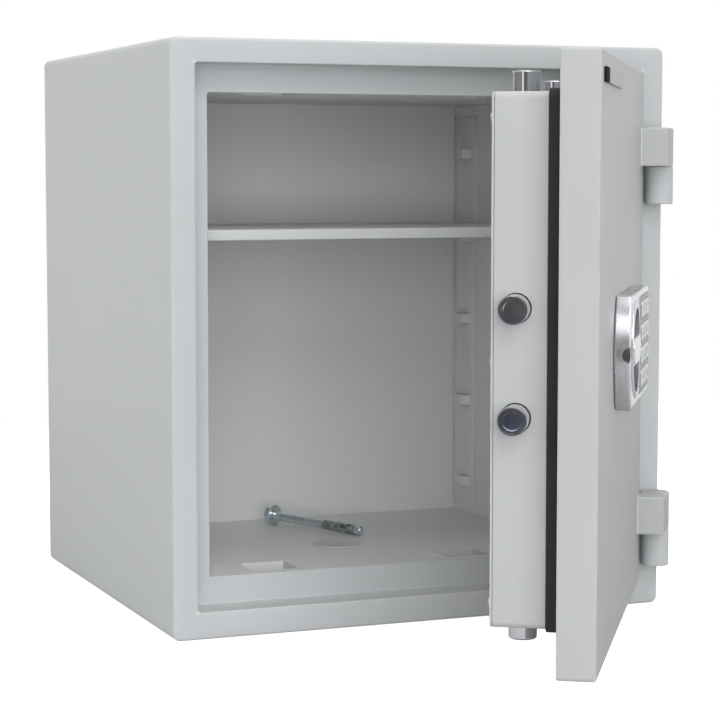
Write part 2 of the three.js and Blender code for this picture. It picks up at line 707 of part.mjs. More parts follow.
// The door turns about the hinge axis; its pieces are drawn closed, inside the turned group
const swing = new THREE.Group();
swing.position.set(hingeX, hingeY, 0);
swing.rotation.z = THREE.MathUtils.degToRad(DOOR_OPEN_ANGLE);
const leaf = new THREE.Group();
leaf.position.set(-hingeX, -hingeY, 0);
swing.add(leaf);
safe.add(swing);

addPiece(leaf, 'hinge_arm_top', makeHingeArm(topHingeJoint), doorPaint);
addPiece(leaf, 'hinge_arm_bottom', makeHingeArm(HINGE_JOINT_FROM_BASE), doorPaint);

// Door slab: front tray, filling, back plate
function spindleHole(radius, y0, y1) {
  return roundAlongY(spindleX, spindleZ, radius, y0, y1, 24);
}

function makeDoorTray() {
  const shape = roundedRectangle(door, DOOR_EDGE_BEND + 1);
  const slab = alongYWithFrontEdge(shape, front, doorBack, DOOR_EDGE_BEND);
  const inside = roundedRectangle(grow(door, -DOOR_SHEET), DOOR_EDGE_BEND);
  const hollow = alongY(inside, front + DOOR_SHEET, doorBack + 1);
  return cut(slab, hollow, spindleHole(SPINDLE_HOLE_DIAMETER / 2, front - 1, doorBack));
}

const doorInside = grow(door, -DOOR_SHEET - SEAM);

function makeDoorFilling() {
  const y1 = doorBack - DOOR_BACK_SHEET - SEAM;
  const block = alongY(roundedRectangle(doorInside, DOOR_EDGE_BEND), front + DOOR_SHEET + SEAM, y1);
  return cut(block, spindleHole(SPINDLE_HOLE_DIAMETER / 2, front, doorBack));
}

function makeDoorBackPlate() {
  const plate = alongY(roundedRectangle(doorInside, DOOR_EDGE_BEND), doorBack - DOOR_BACK_SHEET, doorBack);
  return cut(plate, spindleHole(SPINDLE_HOLE_DIAMETER / 2, front, doorBack + 1));
}

addPiece(leaf, 'door_front_tray', makeDoorTray(), doorPaint);
addPiece(leaf, 'door_filling', makeDoorFilling(), concrete);
addPiece(leaf, 'door_back_plate', makeDoorBackPlate(), doorPaint);

// Bolt box, its seal and its cover
function makeBoltBox() {
  const inside = grow(liner, -LINER_SHEET);
  const insideRadius = LINER_CORNER_RADIUS - LINER_SHEET;
  const ring = frameRing(liner, LINER_CORNER_RADIUS, inside, insideRadius, linerFront, linerBack);
  const radius = BOLT_HOLE_DIAMETER / 2;
  const reach = LINER_SHEET + 1;
  const sideHoles = sideBoltZ.map((z) => (
    roundAlongX(boltAxisY, z, radius, liner.x0 - reach, liner.x0 + reach)
  ));
  const endHoles = [liner.z0, liner.z1].flatMap((level) => (
    topBoltX.map((x) => roundAlongZ(x, boltAxisY, radius, level - reach, level + reach))
  ));
  return cut(ring, ...sideHoles, ...endHoles);
}

function makeSeal() {
  const inner = grow(liner, SEAM);
  const innerRadius = LINER_CORNER_RADIUS + SEAM;
  return frameRing(grow(inner, SEAL_RISE), innerRadius + SEAL_RISE, inner, innerRadius,
    linerFront, linerFront + SEAL_DEPTH);
}

function makeBoltBoxCover() {
  const shape = roundedRectangle(liner, LINER_CORNER_RADIUS);
  return alongY(shape, linerBack + SEAM, coverBack);
}

addPiece(leaf, 'bolt_box', makeBoltBox(), doorPaint);
addPiece(leaf, 'door_seal', makeSeal(), rubber);
addPiece(leaf, 'bolt_box_cover', makeBoltBoxCover(), doorPaint);

// Bolts: turned bars with a chamfered nose, each butted against its bar
function turnedBolt(length) {
  return turned([
    [0, 0],
    [boltRadius, 0],
    [boltRadius, length - BOLT_CHAMFER],
    [boltRadius - BOLT_CHAMFER, length],
    [0, length],
  ]);
}

const sideBarX = liner.x0 + SIDE_BOLT_INSIDE;
const topBarZ = liner.z1 - TOP_BOLT_INSIDE;
const bottomBarZ = liner.z0 + TOP_BOLT_INSIDE;

['lower', 'upper'].forEach((place, index) => {
  const geometry = turnedBolt(SIDE_BOLT_THROW + SIDE_BOLT_INSIDE - SEAM);
  geometry.rotateZ(Math.PI / 2);
  geometry.translate(sideBarX - SEAM, boltAxisY, sideBoltZ[index]);
  addPiece(leaf, `side_bolt_${place}`, toSolid(geometry), chrome);
});

['free_side', 'hinge_side'].forEach((place, index) => {
  const up = turnedBolt(TOP_BOLT_THROW + TOP_BOLT_INSIDE - SEAM);
  up.rotateX(Math.PI / 2);
  up.translate(topBoltX[index], boltAxisY, topBarZ + SEAM);
  addPiece(leaf, `top_bolt_${place}`, toSolid(up), chrome);
  const down = turnedBolt(TOP_BOLT_THROW + TOP_BOLT_INSIDE - SEAM);
  down.rotateX(-Math.PI / 2);
  down.translate(topBoltX[index], boltAxisY, bottomBarZ - SEAM);
  addPiece(leaf, `bottom_bolt_${place}`, toSolid(down), chrome);
});

// Drive disc, pins and bars. The pins stand on three sides of the disc, a quarter turn apart,
// and the knob turns them from half its travel before to half its travel past the neutral line.
const discY0 = doorBack + DISC_BEHIND_DOOR_BACK;
const discY1 = discY0 + DISC_THICKNESS;
const sideLayerY0 = discY1 + LAYER_GAP;
const sideLayerY1 = sideLayerY0 + BAR_SHEET;
const topLayerY0 = sideLayerY1 + LAYER_GAP;
const topLayerY1 = topLayerY0 + BAR_SHEET;
const halfTurn = THREE.MathUtils.degToRad(KNOB_TURN / 2);
const sidePinRadius = SIDE_BOLT_THROW / 2 / Math.sin(halfTurn);
const topPinRadius = TOP_BOLT_THROW / 2 / Math.sin(halfTurn);
const pinReach = PIN_DIAMETER / 2 + PIN_SLOT_PLAY;
const flangeY1 = boltAxisY + boltRadius;

// Pins at rest, with the bolts thrown
const topPinAcross = topPinRadius * Math.cos(halfTurn);
const topPinUp = topPinRadius * Math.sin(halfTurn);
const sidePin = [
  spindleX - sidePinRadius * Math.sin(halfTurn),
  spindleZ + sidePinRadius * Math.cos(halfTurn),
];
const topPin = [spindleX + topPinAcross, spindleZ + topPinUp];
const bottomPin = [spindleX - topPinAcross, spindleZ - topPinUp];

function makeDriveDisc() {
  const disc = roundAlongY(spindleX, spindleZ, sidePinRadius + DISC_RIM, discY0, discY1);
  const pinRadius = PIN_DIAMETER / 2;
  return join(disc,
    roundAlongY(...sidePin, pinRadius, discY1 - 1, sideLayerY1 + 1, 16),
    roundAlongY(...topPin, pinRadius, discY1 - 1, topLayerY1 + 1, 16),
    roundAlongY(...bottomPin, pinRadius, discY1 - 1, topLayerY1 + 1, 16));
}

function makeSideBar() {
  const z0 = sideBoltZ[0] - boltRadius - BAR_OVERHANG;
  const z1 = sideBoltZ[1] + boltRadius + BAR_OVERHANG;
  const flange = box(sideBarX, sideBarX + BAR_SHEET, sideLayerY0, flangeY1, z0, z1);
  const web = box(sideBarX, sideBarX + BAR_FLANGE, sideLayerY0, sideLayerY1, z0, z1);
  const legLow = spindleZ + sidePinRadius * Math.cos(halfTurn) - YOKE_DROP;
  const armLow = legLow + YOKE_LEG;
  const armHigh = spindleZ + sidePinRadius + pinReach + YOKE_LEG;
  const yokeX0 = sidePin[0] - pinReach - YOKE_LEG;
  const yokeX1 = sidePin[0] + pinReach + YOKE_LEG;
  const arm = box(sideBarX, yokeX1, sideLayerY0, sideLayerY1, armLow, armHigh);
  const yoke = box(yokeX0, yokeX1, sideLayerY0, sideLayerY1, legLow, armHigh);
  const slot = box(sidePin[0] - pinReach, sidePin[0] + pinReach, sideLayerY0 - 1, sideLayerY1 + 1,
    legLow - 1, spindleZ + sidePinRadius + pinReach);
  return cut(join(flange, web, arm, yoke), slot);
}

// The top and bottom bars are one folded bar, used upright and turned half a turn about the spindle
function makeEndBar(side, barZ, pin) {
  const x0 = topBoltX[0] - boltRadius - BAR_OVERHANG;
  const x1 = topBoltX[1] + boltRadius + BAR_OVERHANG;
  const flange = box(x0, x1, topLayerY0, flangeY1, barZ - side * BAR_SHEET, barZ);
  const web = box(x0, x1, topLayerY0, topLayerY1, barZ - side * BAR_FLANGE, barZ);
  const near = spindleX + side * (topPinAcross - pinReach);
  const far = spindleX + side * (topPinRadius + pinReach);
  const arm = box(near - side * YOKE_LEG, far + side * YOKE_LEG, topLayerY0, topLayerY1,
    pin[1] - side * (pinReach + YOKE_LEG), barZ);
  const slot = box(near, far, topLayerY0 - 1, topLayerY1 + 1, pin[1] - pinReach, pin[1] + pinReach);
  return cut(join(flange, web, arm), slot);
}

addPiece(leaf, 'drive_disc', makeDriveDisc(), zinc);
addPiece(leaf, 'side_bolt_bar', makeSideBar(), zinc);
addPiece(leaf, 'top_bolt_bar', makeEndBar(1, topBarZ, topPin), zinc);
addPiece(leaf, 'bottom_bolt_bar', makeEndBar(-1, bottomBarZ, bottomPin), zinc);

function makeLockCase() {
  const x0 = spindleX + LOCK_CASE_FROM_SPINDLE;
  return box(x0, x0 + LOCK_CASE_WIDTH, linerFront, linerFront + LOCK_CASE_DEPTH,
    spindleZ - LOCK_CASE_HEIGHT / 2, spindleZ + LOCK_CASE_HEIGHT / 2);
}

addPiece(leaf, 'lock_case', makeLockCase(), darkPlastic);

// Lock housing: bowed at the free end, with a round well for the knob and a recess for the keypad
const lockFront = front - SEAM;
const lockFace = lockFront - LOCK_THICKNESS;
const knobRadius = KNOB_DIAMETER / 2;
const lockArea = {
  x0: spindleX - SPINDLE_FROM_LOCK_END,
  x1: spindleX - SPINDLE_FROM_LOCK_END + LOCK_WIDTH,
  z0: spindleZ - LOCK_HEIGHT / 2,
  z1: spindleZ + LOCK_HEIGHT / 2,
};
const keypadArea = {
  x0: spindleX + knobRadius + KNOB_CLEARANCE + KEYPAD_GAP_TO_KNOB,
  x1: lockArea.x1 - KEYPAD_EDGE_MARGIN,
  z0: lockArea.z0 + KEYPAD_EDGE_MARGIN,
  z1: lockArea.z1 - KEYPAD_EDGE_MARGIN,
};
const keypadFace = lockFace - KEYPAD_PROUD;
const keypadBack = lockFace + KEYPAD_DEPTH;

function sharedSize(total, margin, gap, count) {
  return (total - 2 * margin - (count - 1) * gap) / count;
}

const keyWidth = sharedSize(keypadArea.x1 - keypadArea.x0, KEY_MARGIN_ACROSS, KEY_GAP_ACROSS, KEY_COLUMNS);
const keyHeight = sharedSize(keypadArea.z1 - keypadArea.z0, KEY_MARGIN_DOWN, KEY_GAP_DOWN, KEY_ROWS);

const keyPlaces = [];
for (let row = 0; row < KEY_ROWS; row += 1) {
  for (let column = 0; column < KEY_COLUMNS; column += 1) {
    const across = (column - (KEY_COLUMNS - 1) / 2) * (keyWidth + KEY_GAP_ACROSS);
    const down = (row - (KEY_ROWS - 1) / 2) * (keyHeight + KEY_GAP_DOWN);
    keyPlaces.push({
      name: `key_row${row + 1}_column${column + 1}`,
      x: (keypadArea.x0 + keypadArea.x1) / 2 + across,
      z: spindleZ - down,
    });
  }
}

function keyOutline(place, extra) {
  const area = {
    x0: place.x - keyWidth / 2,
    x1: place.x + keyWidth / 2,
    z0: place.z - keyHeight / 2,
    z1: place.z + keyHeight / 2,
  };
  return roundedRectangle(grow(area, extra), KEY_CORNER_RADIUS + extra);
}

function lockOutline() {
  const { x0, x1, z0, z1 } = lockArea;
  const radius = LOCK_CORNER_RADIUS;
  const half = LOCK_HEIGHT / 2;
  const bowRadius = (half ** 2 + LOCK_END_BOW ** 2) / (2 * LOCK_END_BOW);
  const bowAngle = Math.asin(half / bowRadius);
  const shape = new THREE.Shape();
  shape.moveTo(x0 + LOCK_END_BOW, z0);
  shape.lineTo(x1 - radius, z0);
  shape.absarc(x1 - radius, z0 + radius, radius, -Math.PI / 2, 0, false);
  shape.lineTo(x1, z1 - radius);
  shape.absarc(x1 - radius, z1 - radius, radius, 0, Math.PI / 2, false);
  shape.lineTo(x0 + LOCK_END_BOW, z1);
  shape.absarc(x0 + bowRadius, spindleZ, bowRadius, Math.PI - bowAngle, Math.PI + bowAngle, false);
  return shape;
}

function makeLockHousing() {
  const block = alongYWithFrontEdge(lockOutline(), lockFace, lockFront, LOCK_FRONT_EDGE, 12);
  const well = roundAlongY(spindleX, spindleZ, knobRadius + KNOB_CLEARANCE, lockFace - 1,
    lockFace + KNOB_WELL_DEPTH, FINE_STEPS);
  const hole = spindleHole(SPINDLE_HOLE_DIAMETER / 2, lockFace - 1, lockFront + 1);
  const recess = alongY(roundedRectangle(keypadArea, KEYPAD_CORNER_RADIUS), lockFace - 1, keypadBack);
  const notch = roundAlongX(lockFace, spindleZ, LOCK_NOTCH_RADIUS, lockArea.x0 - 1,
    lockArea.x0 + LOCK_NOTCH_DEPTH, 20);
  return cut(block, well, hole, recess, notch);
}

addPiece(leaf, 'lock_housing', makeLockHousing(), chrome);

// Keypad: a moulded block with a well for each key, and the keys standing in the wells
function makeKeypad() {
  const area = grow(keypadArea, -SEAM);
  const block = alongY(roundedRectangle(area, KEYPAD_CORNER_RADIUS - SEAM), keypadFace, keypadBack - SEAM);
  const wellBack = keypadFace + KEY_SLEEVE + KEY_TRAVEL + KEY_CLEARANCE;
  const wells = keyPlaces.map((place) => (
    alongY(keyOutline(place, KEY_CLEARANCE), keypadFace - 1, wellBack, KEY_STEPS)
  ));
  return cut(block, ...wells);
}

addPiece(leaf, 'keypad', makeKeypad(), darkPlastic);

for (const place of keyPlaces) {
  const key = alongYWithFrontEdge(keyOutline(place, 0), keypadFace - KEY_PROUD, keypadFace + KEY_SLEEVE,
    KEY_EDGE, KEY_STEPS, 1);
  addPiece(leaf, place.name, key, keyMetal);
}

// Knob: a round dish with a grip bar across it and a finger recess on each side of the bar
function makeKnob() {
  const y0 = lockFace - KNOB_PROUD;
  const y1 = lockFace + KNOB_WELL_DEPTH - KNOB_CLEARANCE;
  const geometry = turned([
    [0, -y1],
    [knobRadius, -y1],
    [knobRadius, -y0 - KNOB_EDGE],
    [knobRadius - KNOB_EDGE, -y0],
    [0, -y0],
  ], FINE_STEPS);
  geometry.rotateX(Math.PI);
  geometry.translate(spindleX, 0, spindleZ);
  const dish = toSolid(geometry);
  const half = GRIP_WIDTH / 2;
  const inner = knobRadius - KNOB_RIM;
  const chord = Math.asin(half / inner);
  const recesses = [0, Math.PI].map((turn) => {
    const shape = new THREE.Shape();
    shape.absarc(spindleX, spindleZ, inner, turn + chord, turn + Math.PI - chord, false);
    shape.closePath();
    return alongY(shape, y0 - 1, y0 + GRIP_RECESS_DEPTH, FINE_STEPS / 2);
  });
  const grip = alongYWithFrontEdge(roundedRectangle({
    x0: spindleX - inner,
    x1: spindleX + inner,
    z0: spindleZ - half,
    z1: spindleZ + half,
  }, half - 1), y0 - GRIP_RISE, y1, GRIP_EDGE, 6);
  return join(cut(dish, ...recesses), grip);
}

addPiece(leaf, 'knob', makeKnob(), chrome);

function makeSpindle() {
  const knobBack = lockFace + KNOB_WELL_DEPTH - KNOB_CLEARANCE;
  return roundAlongY(spindleX, spindleZ, SPINDLE_DIAMETER / 2, knobBack + SEAM, discY0 - SEAM, 24);
}

addPiece(leaf, 'spindle', makeSpindle(), zinc);

export default safe;
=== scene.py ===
import json
import math
import bmesh
import bpy
from mathutils import Matrix, Vector


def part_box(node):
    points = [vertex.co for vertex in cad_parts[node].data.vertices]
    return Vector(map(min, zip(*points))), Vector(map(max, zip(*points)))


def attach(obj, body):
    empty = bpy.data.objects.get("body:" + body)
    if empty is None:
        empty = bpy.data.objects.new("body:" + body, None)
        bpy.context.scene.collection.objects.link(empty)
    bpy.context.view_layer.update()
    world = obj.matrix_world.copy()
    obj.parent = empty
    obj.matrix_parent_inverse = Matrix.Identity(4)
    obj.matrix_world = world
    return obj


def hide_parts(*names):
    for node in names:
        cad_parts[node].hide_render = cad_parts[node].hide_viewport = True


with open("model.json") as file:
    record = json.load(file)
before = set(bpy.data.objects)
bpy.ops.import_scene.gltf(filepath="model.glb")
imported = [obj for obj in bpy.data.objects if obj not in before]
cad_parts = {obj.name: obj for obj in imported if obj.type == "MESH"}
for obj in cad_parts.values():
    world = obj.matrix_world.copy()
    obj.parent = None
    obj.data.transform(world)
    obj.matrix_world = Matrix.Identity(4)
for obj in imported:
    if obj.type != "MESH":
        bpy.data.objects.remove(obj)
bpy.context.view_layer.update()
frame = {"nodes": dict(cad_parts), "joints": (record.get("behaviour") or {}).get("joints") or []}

nodes = frame["nodes"]

# The room
# A pale floor and an even, soft studio light from large panels in front, overhead, to the left and behind.
# The background is white, and glowing curtains behind the camera and to its left, their tones painted light,
# give the chrome something to mirror.
camera_place = Vector((-0.9824, -2.5136, 0.5051))
camera_turn = 0.383
camera_dip = 0.085
camera_lens = 109.34
floor_colour = (0.66, 0.66, 0.66, 1)
floor_lift = 0.90
floor_half_size = 1.7
ambient_colour = (0.985, 0.992, 1.0, 1)
ambient_low = 0.05
ambient_high = 0.10
curtain_rise = Vector((0, 0, 2.3))
fold_stretch = (1, 1, 0.35)
fold_scale = 7

camera_data = bpy.data.cameras.new("photo_camera")
camera_data.lens = camera_lens
camera_data.sensor_width = 36
camera = bpy.data.objects.new("photo_camera", camera_data)
camera.location = camera_place
camera.rotation_euler = (math.pi / 2 - camera_dip, 0, -camera_turn)
bpy.context.scene.collection.objects.link(camera)
bpy.context.scene.camera = camera
bpy.context.scene.view_settings.view_transform = "Standard"


def put_in_scene(thing):
    """Links an object to the scene."""
    bpy.context.scene.collection.objects.link(thing)


def preset(node, **values):
    """Sets a node's inputs, named with _ for a space."""
    for socket, value in values.items():
        node.inputs[socket.replace("_", " ")].default_value = value


def added(tree, kind, operation=None, **values):
    """A new shader node in a tree, with its operation and the values of its inputs."""
    node = tree.nodes.new("ShaderNode" + kind)
    if operation is not None:
        node.operation = operation
    preset(node, **values)
    return node


def wire(tree, *links):
    """Joins sockets in a node tree, each link given as node, output, node, input."""
    for source, output_name, target, input_name in links:
        tree.links.new(source.outputs[output_name], target.inputs[input_name])


world = bpy.data.worlds.new("studio")
bpy.context.scene.world = world
world.use_nodes = True
tree = world.node_tree
tree.nodes.clear()
backdrop = added(tree, "Background", Color=(1, 1, 1, 1))
ambient = added(tree, "Background", Color=ambient_colour)
rays = added(tree, "LightPath")
seen = added(tree, "Math", "MAXIMUM")
seen_through = added(tree, "Math", "MAXIMUM")
choice = added(tree, "MixShader")
output = added(tree, "OutputWorld")
direction = added(tree, "TexCoord")
height = added(tree, "SeparateXYZ")
strength = added(tree, "MapRange", From_Min=-0.4, From_Max=0.9, To_Min=ambient_low, To_Max=ambient_high)
wire(
    tree, (direction, "Generated", height, "Vector"), (height, "Z", strength, "Value"),
    (strength, "Result", ambient, "Strength"), (rays, "Is Camera Ray", seen, 0),
    (rays, "Is Glossy Ray", seen, 1), (seen, "Value", seen_through, 0),
    (rays, "Is Transmission Ray", seen_through, 1), (seen_through, "Value", choice, "Fac"),
    (ambient, "Background", choice, 1), (backdrop, "Background", choice, 2),
    (choice, "Shader", output, "Surface"),
)

# Panels of light: name, place, point it faces, width and height in metres, power in watts
for name, place, aim, size, power in (
    ("panel_behind_camera", (-0.6, -3.4, 0.75), (0.0, -0.2, 0.33), (2.6, 1.5), 46),
    ("panel_front_low", (-0.9, -3.2, 0.15), (0.0, 0.0, 0.4), (1.6, 0.5), 6),
    ("panel_front_high", (-0.4, -2.8, 2.4), (0.0, -0.2, 0.3), (2.0, 1.4), 31),
    ("panel_front_left", (-2.4, -2.9, 0.9), (-0.1, -0.3, 0.3), (1.4, 1.4), 6),
    ("panel_front_right", (2.6, -1.9, 1.7), (0.1, -0.4, 0.3), (1.4, 1.8), 17),
    ("panel_left", (-2.7, 0.4, 1.4), (-0.3, 0.0, 0.3), (1.6, 1.6), 36),
    ("panel_top", (0.0, -0.3, 3.0), (0.0, -0.1, 0.3), (2.2, 2.2), 36),
    ("panel_back", (0.9, 3.0, 1.7), (0.0, 0.2, 0.3), (1.8, 1.6), 26),
):
    lamp = bpy.data.lights.new(name, "AREA")
    lamp.shape = "RECTANGLE"
    lamp.size, lamp.size_y = size
    lamp.energy = power
    stand = bpy.data.objects.new(name, lamp)
    stand.location = place
    stand.visible_glossy = name not in ("panel_left", "panel_back")
    stand.rotation_euler = (Vector(aim) - Vector(place)).to_track_quat("-Z", "Y").to_euler()
    put_in_scene(stand)


def flat_sheet(name, corners, colour, roughness):
    """A flat stage sheet through its corners, and its node tree and shader."""
    material = bpy.data.materials.new(name)
    material.use_nodes = True
    shader = material.node_tree.nodes["Principled BSDF"]
    preset(shader, Base_Color=colour, Roughness=roughness)
    mesh = bpy.data.meshes.new(name)
    mesh.from_pydata(corners, [], [tuple(range(len(corners)))])
    mesh.materials.append(material)
    sheet = bpy.data.objects.new(name, mesh)
    put_in_scene(sheet)
    return sheet, material.node_tree, shader


side = Vector((floor_half_size, 0, 0))
away = Vector((0, floor_half_size, 0))
drop = Vector((0, 0, -0.0005))
floor_corners = [drop - side - away, drop + side - away, drop + side + away, drop - side + away]
tree, shader = flat_sheet("studio_floor", floor_corners, floor_colour, 0.7)[1:]
rays = added(tree, "LightPath")
lift = added(tree, "Math", "MULTIPLY")
lift.inputs[1].default_value = floor_lift
preset(shader, Emission_Color=(1, 1, 1, 1))
wire(tree, (rays, "Is Camera Ray", lift, 0), (lift, "Value", shader, "Emission Strength"))

# Glowing curtains that only reflections show, their tones painted light: name, corner, width, colours of its
# folds low down and higher up
blue_folds = (0.015, 0.018, 0.035, 1), (0.07, 0.075, 0.14, 1)
brown_folds = (0.012, 0.011, 0.010, 1), (0.14, 0.12, 0.10, 1)
right_folds = (0.12, 0.12, 0.125, 1), (0.40, 0.40, 0.41, 1)
left_folds = (0.12, 0.12, 0.125, 1), (0.42, 0.42, 0.43, 1)
for name, corner, width, low_folds, high_folds in (
    ("front_curtain", Vector((-3.45, -2.95, -0.6)), Vector((2.55, 0, 0)), blue_folds, brown_folds),
    ("right_curtain", Vector((-0.9, -2.95, -0.6)), Vector((2.45, 0, 0)), right_folds, right_folds),
    ("left_curtain", Vector((-3.45, -2.95, -0.6)), Vector((0, 6.0, 0)), left_folds, left_folds),
):
    corners = [corner, corner + width, corner + width + curtain_rise, corner + curtain_rise]
    curtain, tree, shader = flat_sheet(name, corners, (0, 0, 0, 1), 1)
    where = added(tree, "TexCoord")
    stretch = added(tree, "Mapping", Scale=fold_stretch)
    folds = added(tree, "TexNoise", Scale=fold_scale, Detail=5)
    contrast = added(tree, "MapRange", From_Min=0.38, From_Max=0.62)
    height = added(tree, "SeparateXYZ")
    level = added(tree, "MapRange", From_Min=0.06, From_Max=0.16)
    low_tone, high_tone, tone = (added(tree, "Mix") for _ in range(3))
    for mix in (low_tone, high_tone, tone):
        mix.data_type = "RGBA"
    low_tone.inputs["A"].default_value, low_tone.inputs["B"].default_value = low_folds
    high_tone.inputs["A"].default_value, high_tone.inputs["B"].default_value = high_folds
    wire(
        tree, (where, "Object", stretch, "Vector"), (stretch, "Vector", folds, "Vector"),
        (folds, "Fac", contrast, "Value"), (where, "Object", height, "Vector"),
        (height, "Z", level, "Value"), (contrast, "Result", low_tone, "Factor"),
        (contrast, "Result", high_tone, "Factor"), (level, "Result", tone, "Factor"),
        (low_tone, "Result", tone, "A"), (high_tone, "Result", tone, "B"),
        (tone, "Result", shader, "Emission Color"),
    )
    # The sheets glow with their set tones: painted light seen only in reflections
    preset(shader, Emission_Strength=1)
    curtain.visible_camera = False
    curtain.visible_diffuse = False
    curtain.visible_shadow = False

# Cabinet shell
# A folded sheet-steel wrap, a back panel and a front frame, welded, ground and powder coated as one.
# The front frame has a rim, a rebate that takes the door, and a land round the opening.
body_grey = (0.520, 0.536, 0.548, 1)
# A lighter grey for the edges of the coats: a painted highlight where the rounded bends catch light
edge_highlight_grey = (0.63, 0.65, 0.66, 1)
coat_roughness = 0.46
grain_size = 0.0011
grain_depth = 0.00007
rim_side, rim_top, rim_bottom = 0.028, 0.0265, 0.030
rebate_depth = 0.0426
land_free_side, land_hinge_side, land_top, land_bottom = 0.027, 0.053, 0.0301, 0.0305
shell_corner = 0.008
rebate_corner = 0.004
opening_corner = 0.003
front_bend = 0.0036
back_bend = 0.003
rebate_roll = 0.0016
land_fold = 0.0012
frame_sheet = 0.0025
shell_sheet = 0.002
bend_steps = 5


def new_group(name, inputs, outputs):
    """A shader node group with its sockets, and its input and output nodes."""
    group = bpy.data.node_groups.new(name, "ShaderNodeTree")
    for socket, kind, value in inputs:
        made = group.interface.new_socket(socket, in_out="INPUT", socket_type=kind)
        if value is not None:
            made.default_value = value
    for socket, kind in outputs:
        group.interface.new_socket(socket, in_out="OUTPUT", socket_type=kind)
    entry = group.nodes.new("NodeGroupInput")
    leave = group.nodes.new("NodeGroupOutput")
    return group, entry, leave


# Powder coat grain: fine bumps, wider waves, and a slow change of tone over the surface
grain_group, entry, leave = new_group(
    "powder_grain",
    [("Position", "NodeSocketVector", None), ("Grain", "NodeSocketFloat", grain_size)],
    [("Height", "NodeSocketFloat"), ("Tone", "NodeSocketFloat")],
)
scale = added(grain_group, "Math", "DIVIDE")
scale.inputs[0].default_value = 1
fine = added(grain_group, "TexNoise", Detail=3)
wave = added(grain_group, "TexNoise", Scale=210)
slow = added(grain_group, "TexNoise", Scale=9, Detail=4)
joined = added(grain_group, "Mix", Factor=0.35)
for noise in (fine, wave, slow):
    wire(grain_group, (entry, "Position", noise, "Vector"))
wire(
    grain_group, (entry, "Grain", scale, 1), (scale, "Value", fine, "Scale"), (fine, "Fac", joined, "A"),
    (wave, "Fac", joined, "B"), (joined, "Result", leave, "Height"), (slow, "Fac", leave, "Tone"),
)

# Painted edge highlight: a mask that rises where two faces of a box meet, broken up by noise, to lighten the
# coat where the bends catch light
edge_highlight_group, entry, leave = new_group(
    "painted_edge_highlight",
    [
        ("Position", "NodeSocketVector", None),
        ("Centre", "NodeSocketVector", (0, 0, 0)),
        ("Half Size", "NodeSocketVector", (1, 1, 1)),
        ("Width", "NodeSocketFloat", 0.002),
    ],
    [("Mask", "NodeSocketFloat")],
)
from_centre, size_of, depth_in, distance = (
    added(edge_highlight_group, "VectorMath", step) for step in ("SUBTRACT", "ABSOLUTE", "SUBTRACT", "ABSOLUTE")
)
parts = added(edge_highlight_group, "SeparateXYZ")
signed = added(edge_highlight_group, "SeparateXYZ")
low_pair, high_pair, low_rest, second, reach_in = (
    added(edge_highlight_group, "Math", step) for step in ("MINIMUM", "MAXIMUM", "MAXIMUM", "MINIMUM", "MULTIPLY")
)
least_pair, least, with_width, within, masked = (
    added(edge_highlight_group, "Math", step) for step in ("MINIMUM", "MINIMUM", "ADD", "GREATER_THAN", "MULTIPLY")
)
within.inputs[1].default_value = 0
broken = added(edge_highlight_group, "TexNoise", Scale=60, Detail=4)
ramp = added(edge_highlight_group, "MapRange", To_Min=1, To_Max=0)
ramp.interpolation_type = "SMOOTHSTEP"
wire(
    edge_highlight_group, (entry, "Position", from_centre, 0), (entry, "Centre", from_centre, 1),
    (from_centre, "Vector", size_of, 0), (entry, "Half Size", depth_in, 0),
    (size_of, "Vector", depth_in, 1), (depth_in, "Vector", distance, 0),
    (distance, "Vector", parts, "Vector"),
)
for step in (low_pair, high_pair):
    wire(edge_highlight_group, (parts, "X", step, 0), (parts, "Y", step, 1))
wire(
    edge_highlight_group, (low_pair, "Value", low_rest, 0), (parts, "Z", low_rest, 1), (low_rest, "Value", second, 0),
    (high_pair, "Value", second, 1), (entry, "Position", broken, "Vector"), (broken, "Fac", reach_in, 0),
    (entry, "Width", reach_in, 1), (second, "Value", ramp, "Value"), (reach_in, "Value", ramp, "From Max"),
    (depth_in, "Vector", signed, "Vector"), (signed, "X", least_pair, 0), (signed, "Y", least_pair, 1),
    (least_pair, "Value", least, 0), (signed, "Z", least, 1), (least, "Value", with_width, 0),
    (entry, "Width", with_width, 1), (with_width, "Value", within, 0), (ramp, "Result", masked, 0),
    (within, "Value", masked, 1), (masked, "Value", leave, "Mask"),
)

# Settled dust: a thin veil on what faces up
dust_group, entry, leave = new_group(
    "settled_dust",
    [("Position", "NodeSocketVector", None), ("Amount", "NodeSocketFloat", 0.3)],
    [("Mask", "NodeSocketFloat")],
)
facing = added(dust_group, "NewGeometry")
upward = added(dust_group, "SeparateXYZ")
flat_top = added(dust_group, "MapRange", From_Min=0.75)
patches = added(dust_group, "TexNoise", Scale=35, Detail=6)
veil = added(dust_group, "Math", "MULTIPLY")
scaled = added(dust_group, "Math", "MULTIPLY")
wire(
    dust_group, (facing, "Normal", upward, "Vector"), (upward, "Z", flat_top, "Value"),
    (entry, "Position", patches, "Vector"), (flat_top, "Result", veil, 0), (patches, "Fac", veil, 1),
    (veil, "Value", scaled, 0), (entry, "Amount", scaled, 1), (scaled, "Value", leave, "Mask"),
)


def place_group(tree, group, **values):
    """A node in the tree that uses the group, with values for its named inputs."""
    node = added(tree, "Group")
    node.node_tree = group
    preset(node, **values)
    return node


def blank_material(name, turn=None):
    """A material, its node tree, its shader and the coordinates that its patterns read.
    turn brings the open door's coordinates back to the closed door's."""
    material = bpy.data.materials.new(name)
    material.use_nodes = True
    tree = material.node_tree
    shader = tree.nodes["Principled BSDF"]
    where = added(tree, "TexCoord").outputs["Object"]
    if turn is not None:
        mapping = added(tree, "Mapping", Location=turn.to_translation(), Rotation=turn.to_euler())
        tree.links.new(where, mapping.inputs["Vector"])
        where = mapping.outputs["Vector"]
    return material, tree, shader, where


def texture(tree, where, kind="TexNoise", **values):
    """A texture node that reads the given coordinates."""
    node = added(tree, kind, **values)
    tree.links.new(where, node.inputs["Vector"])
    return node


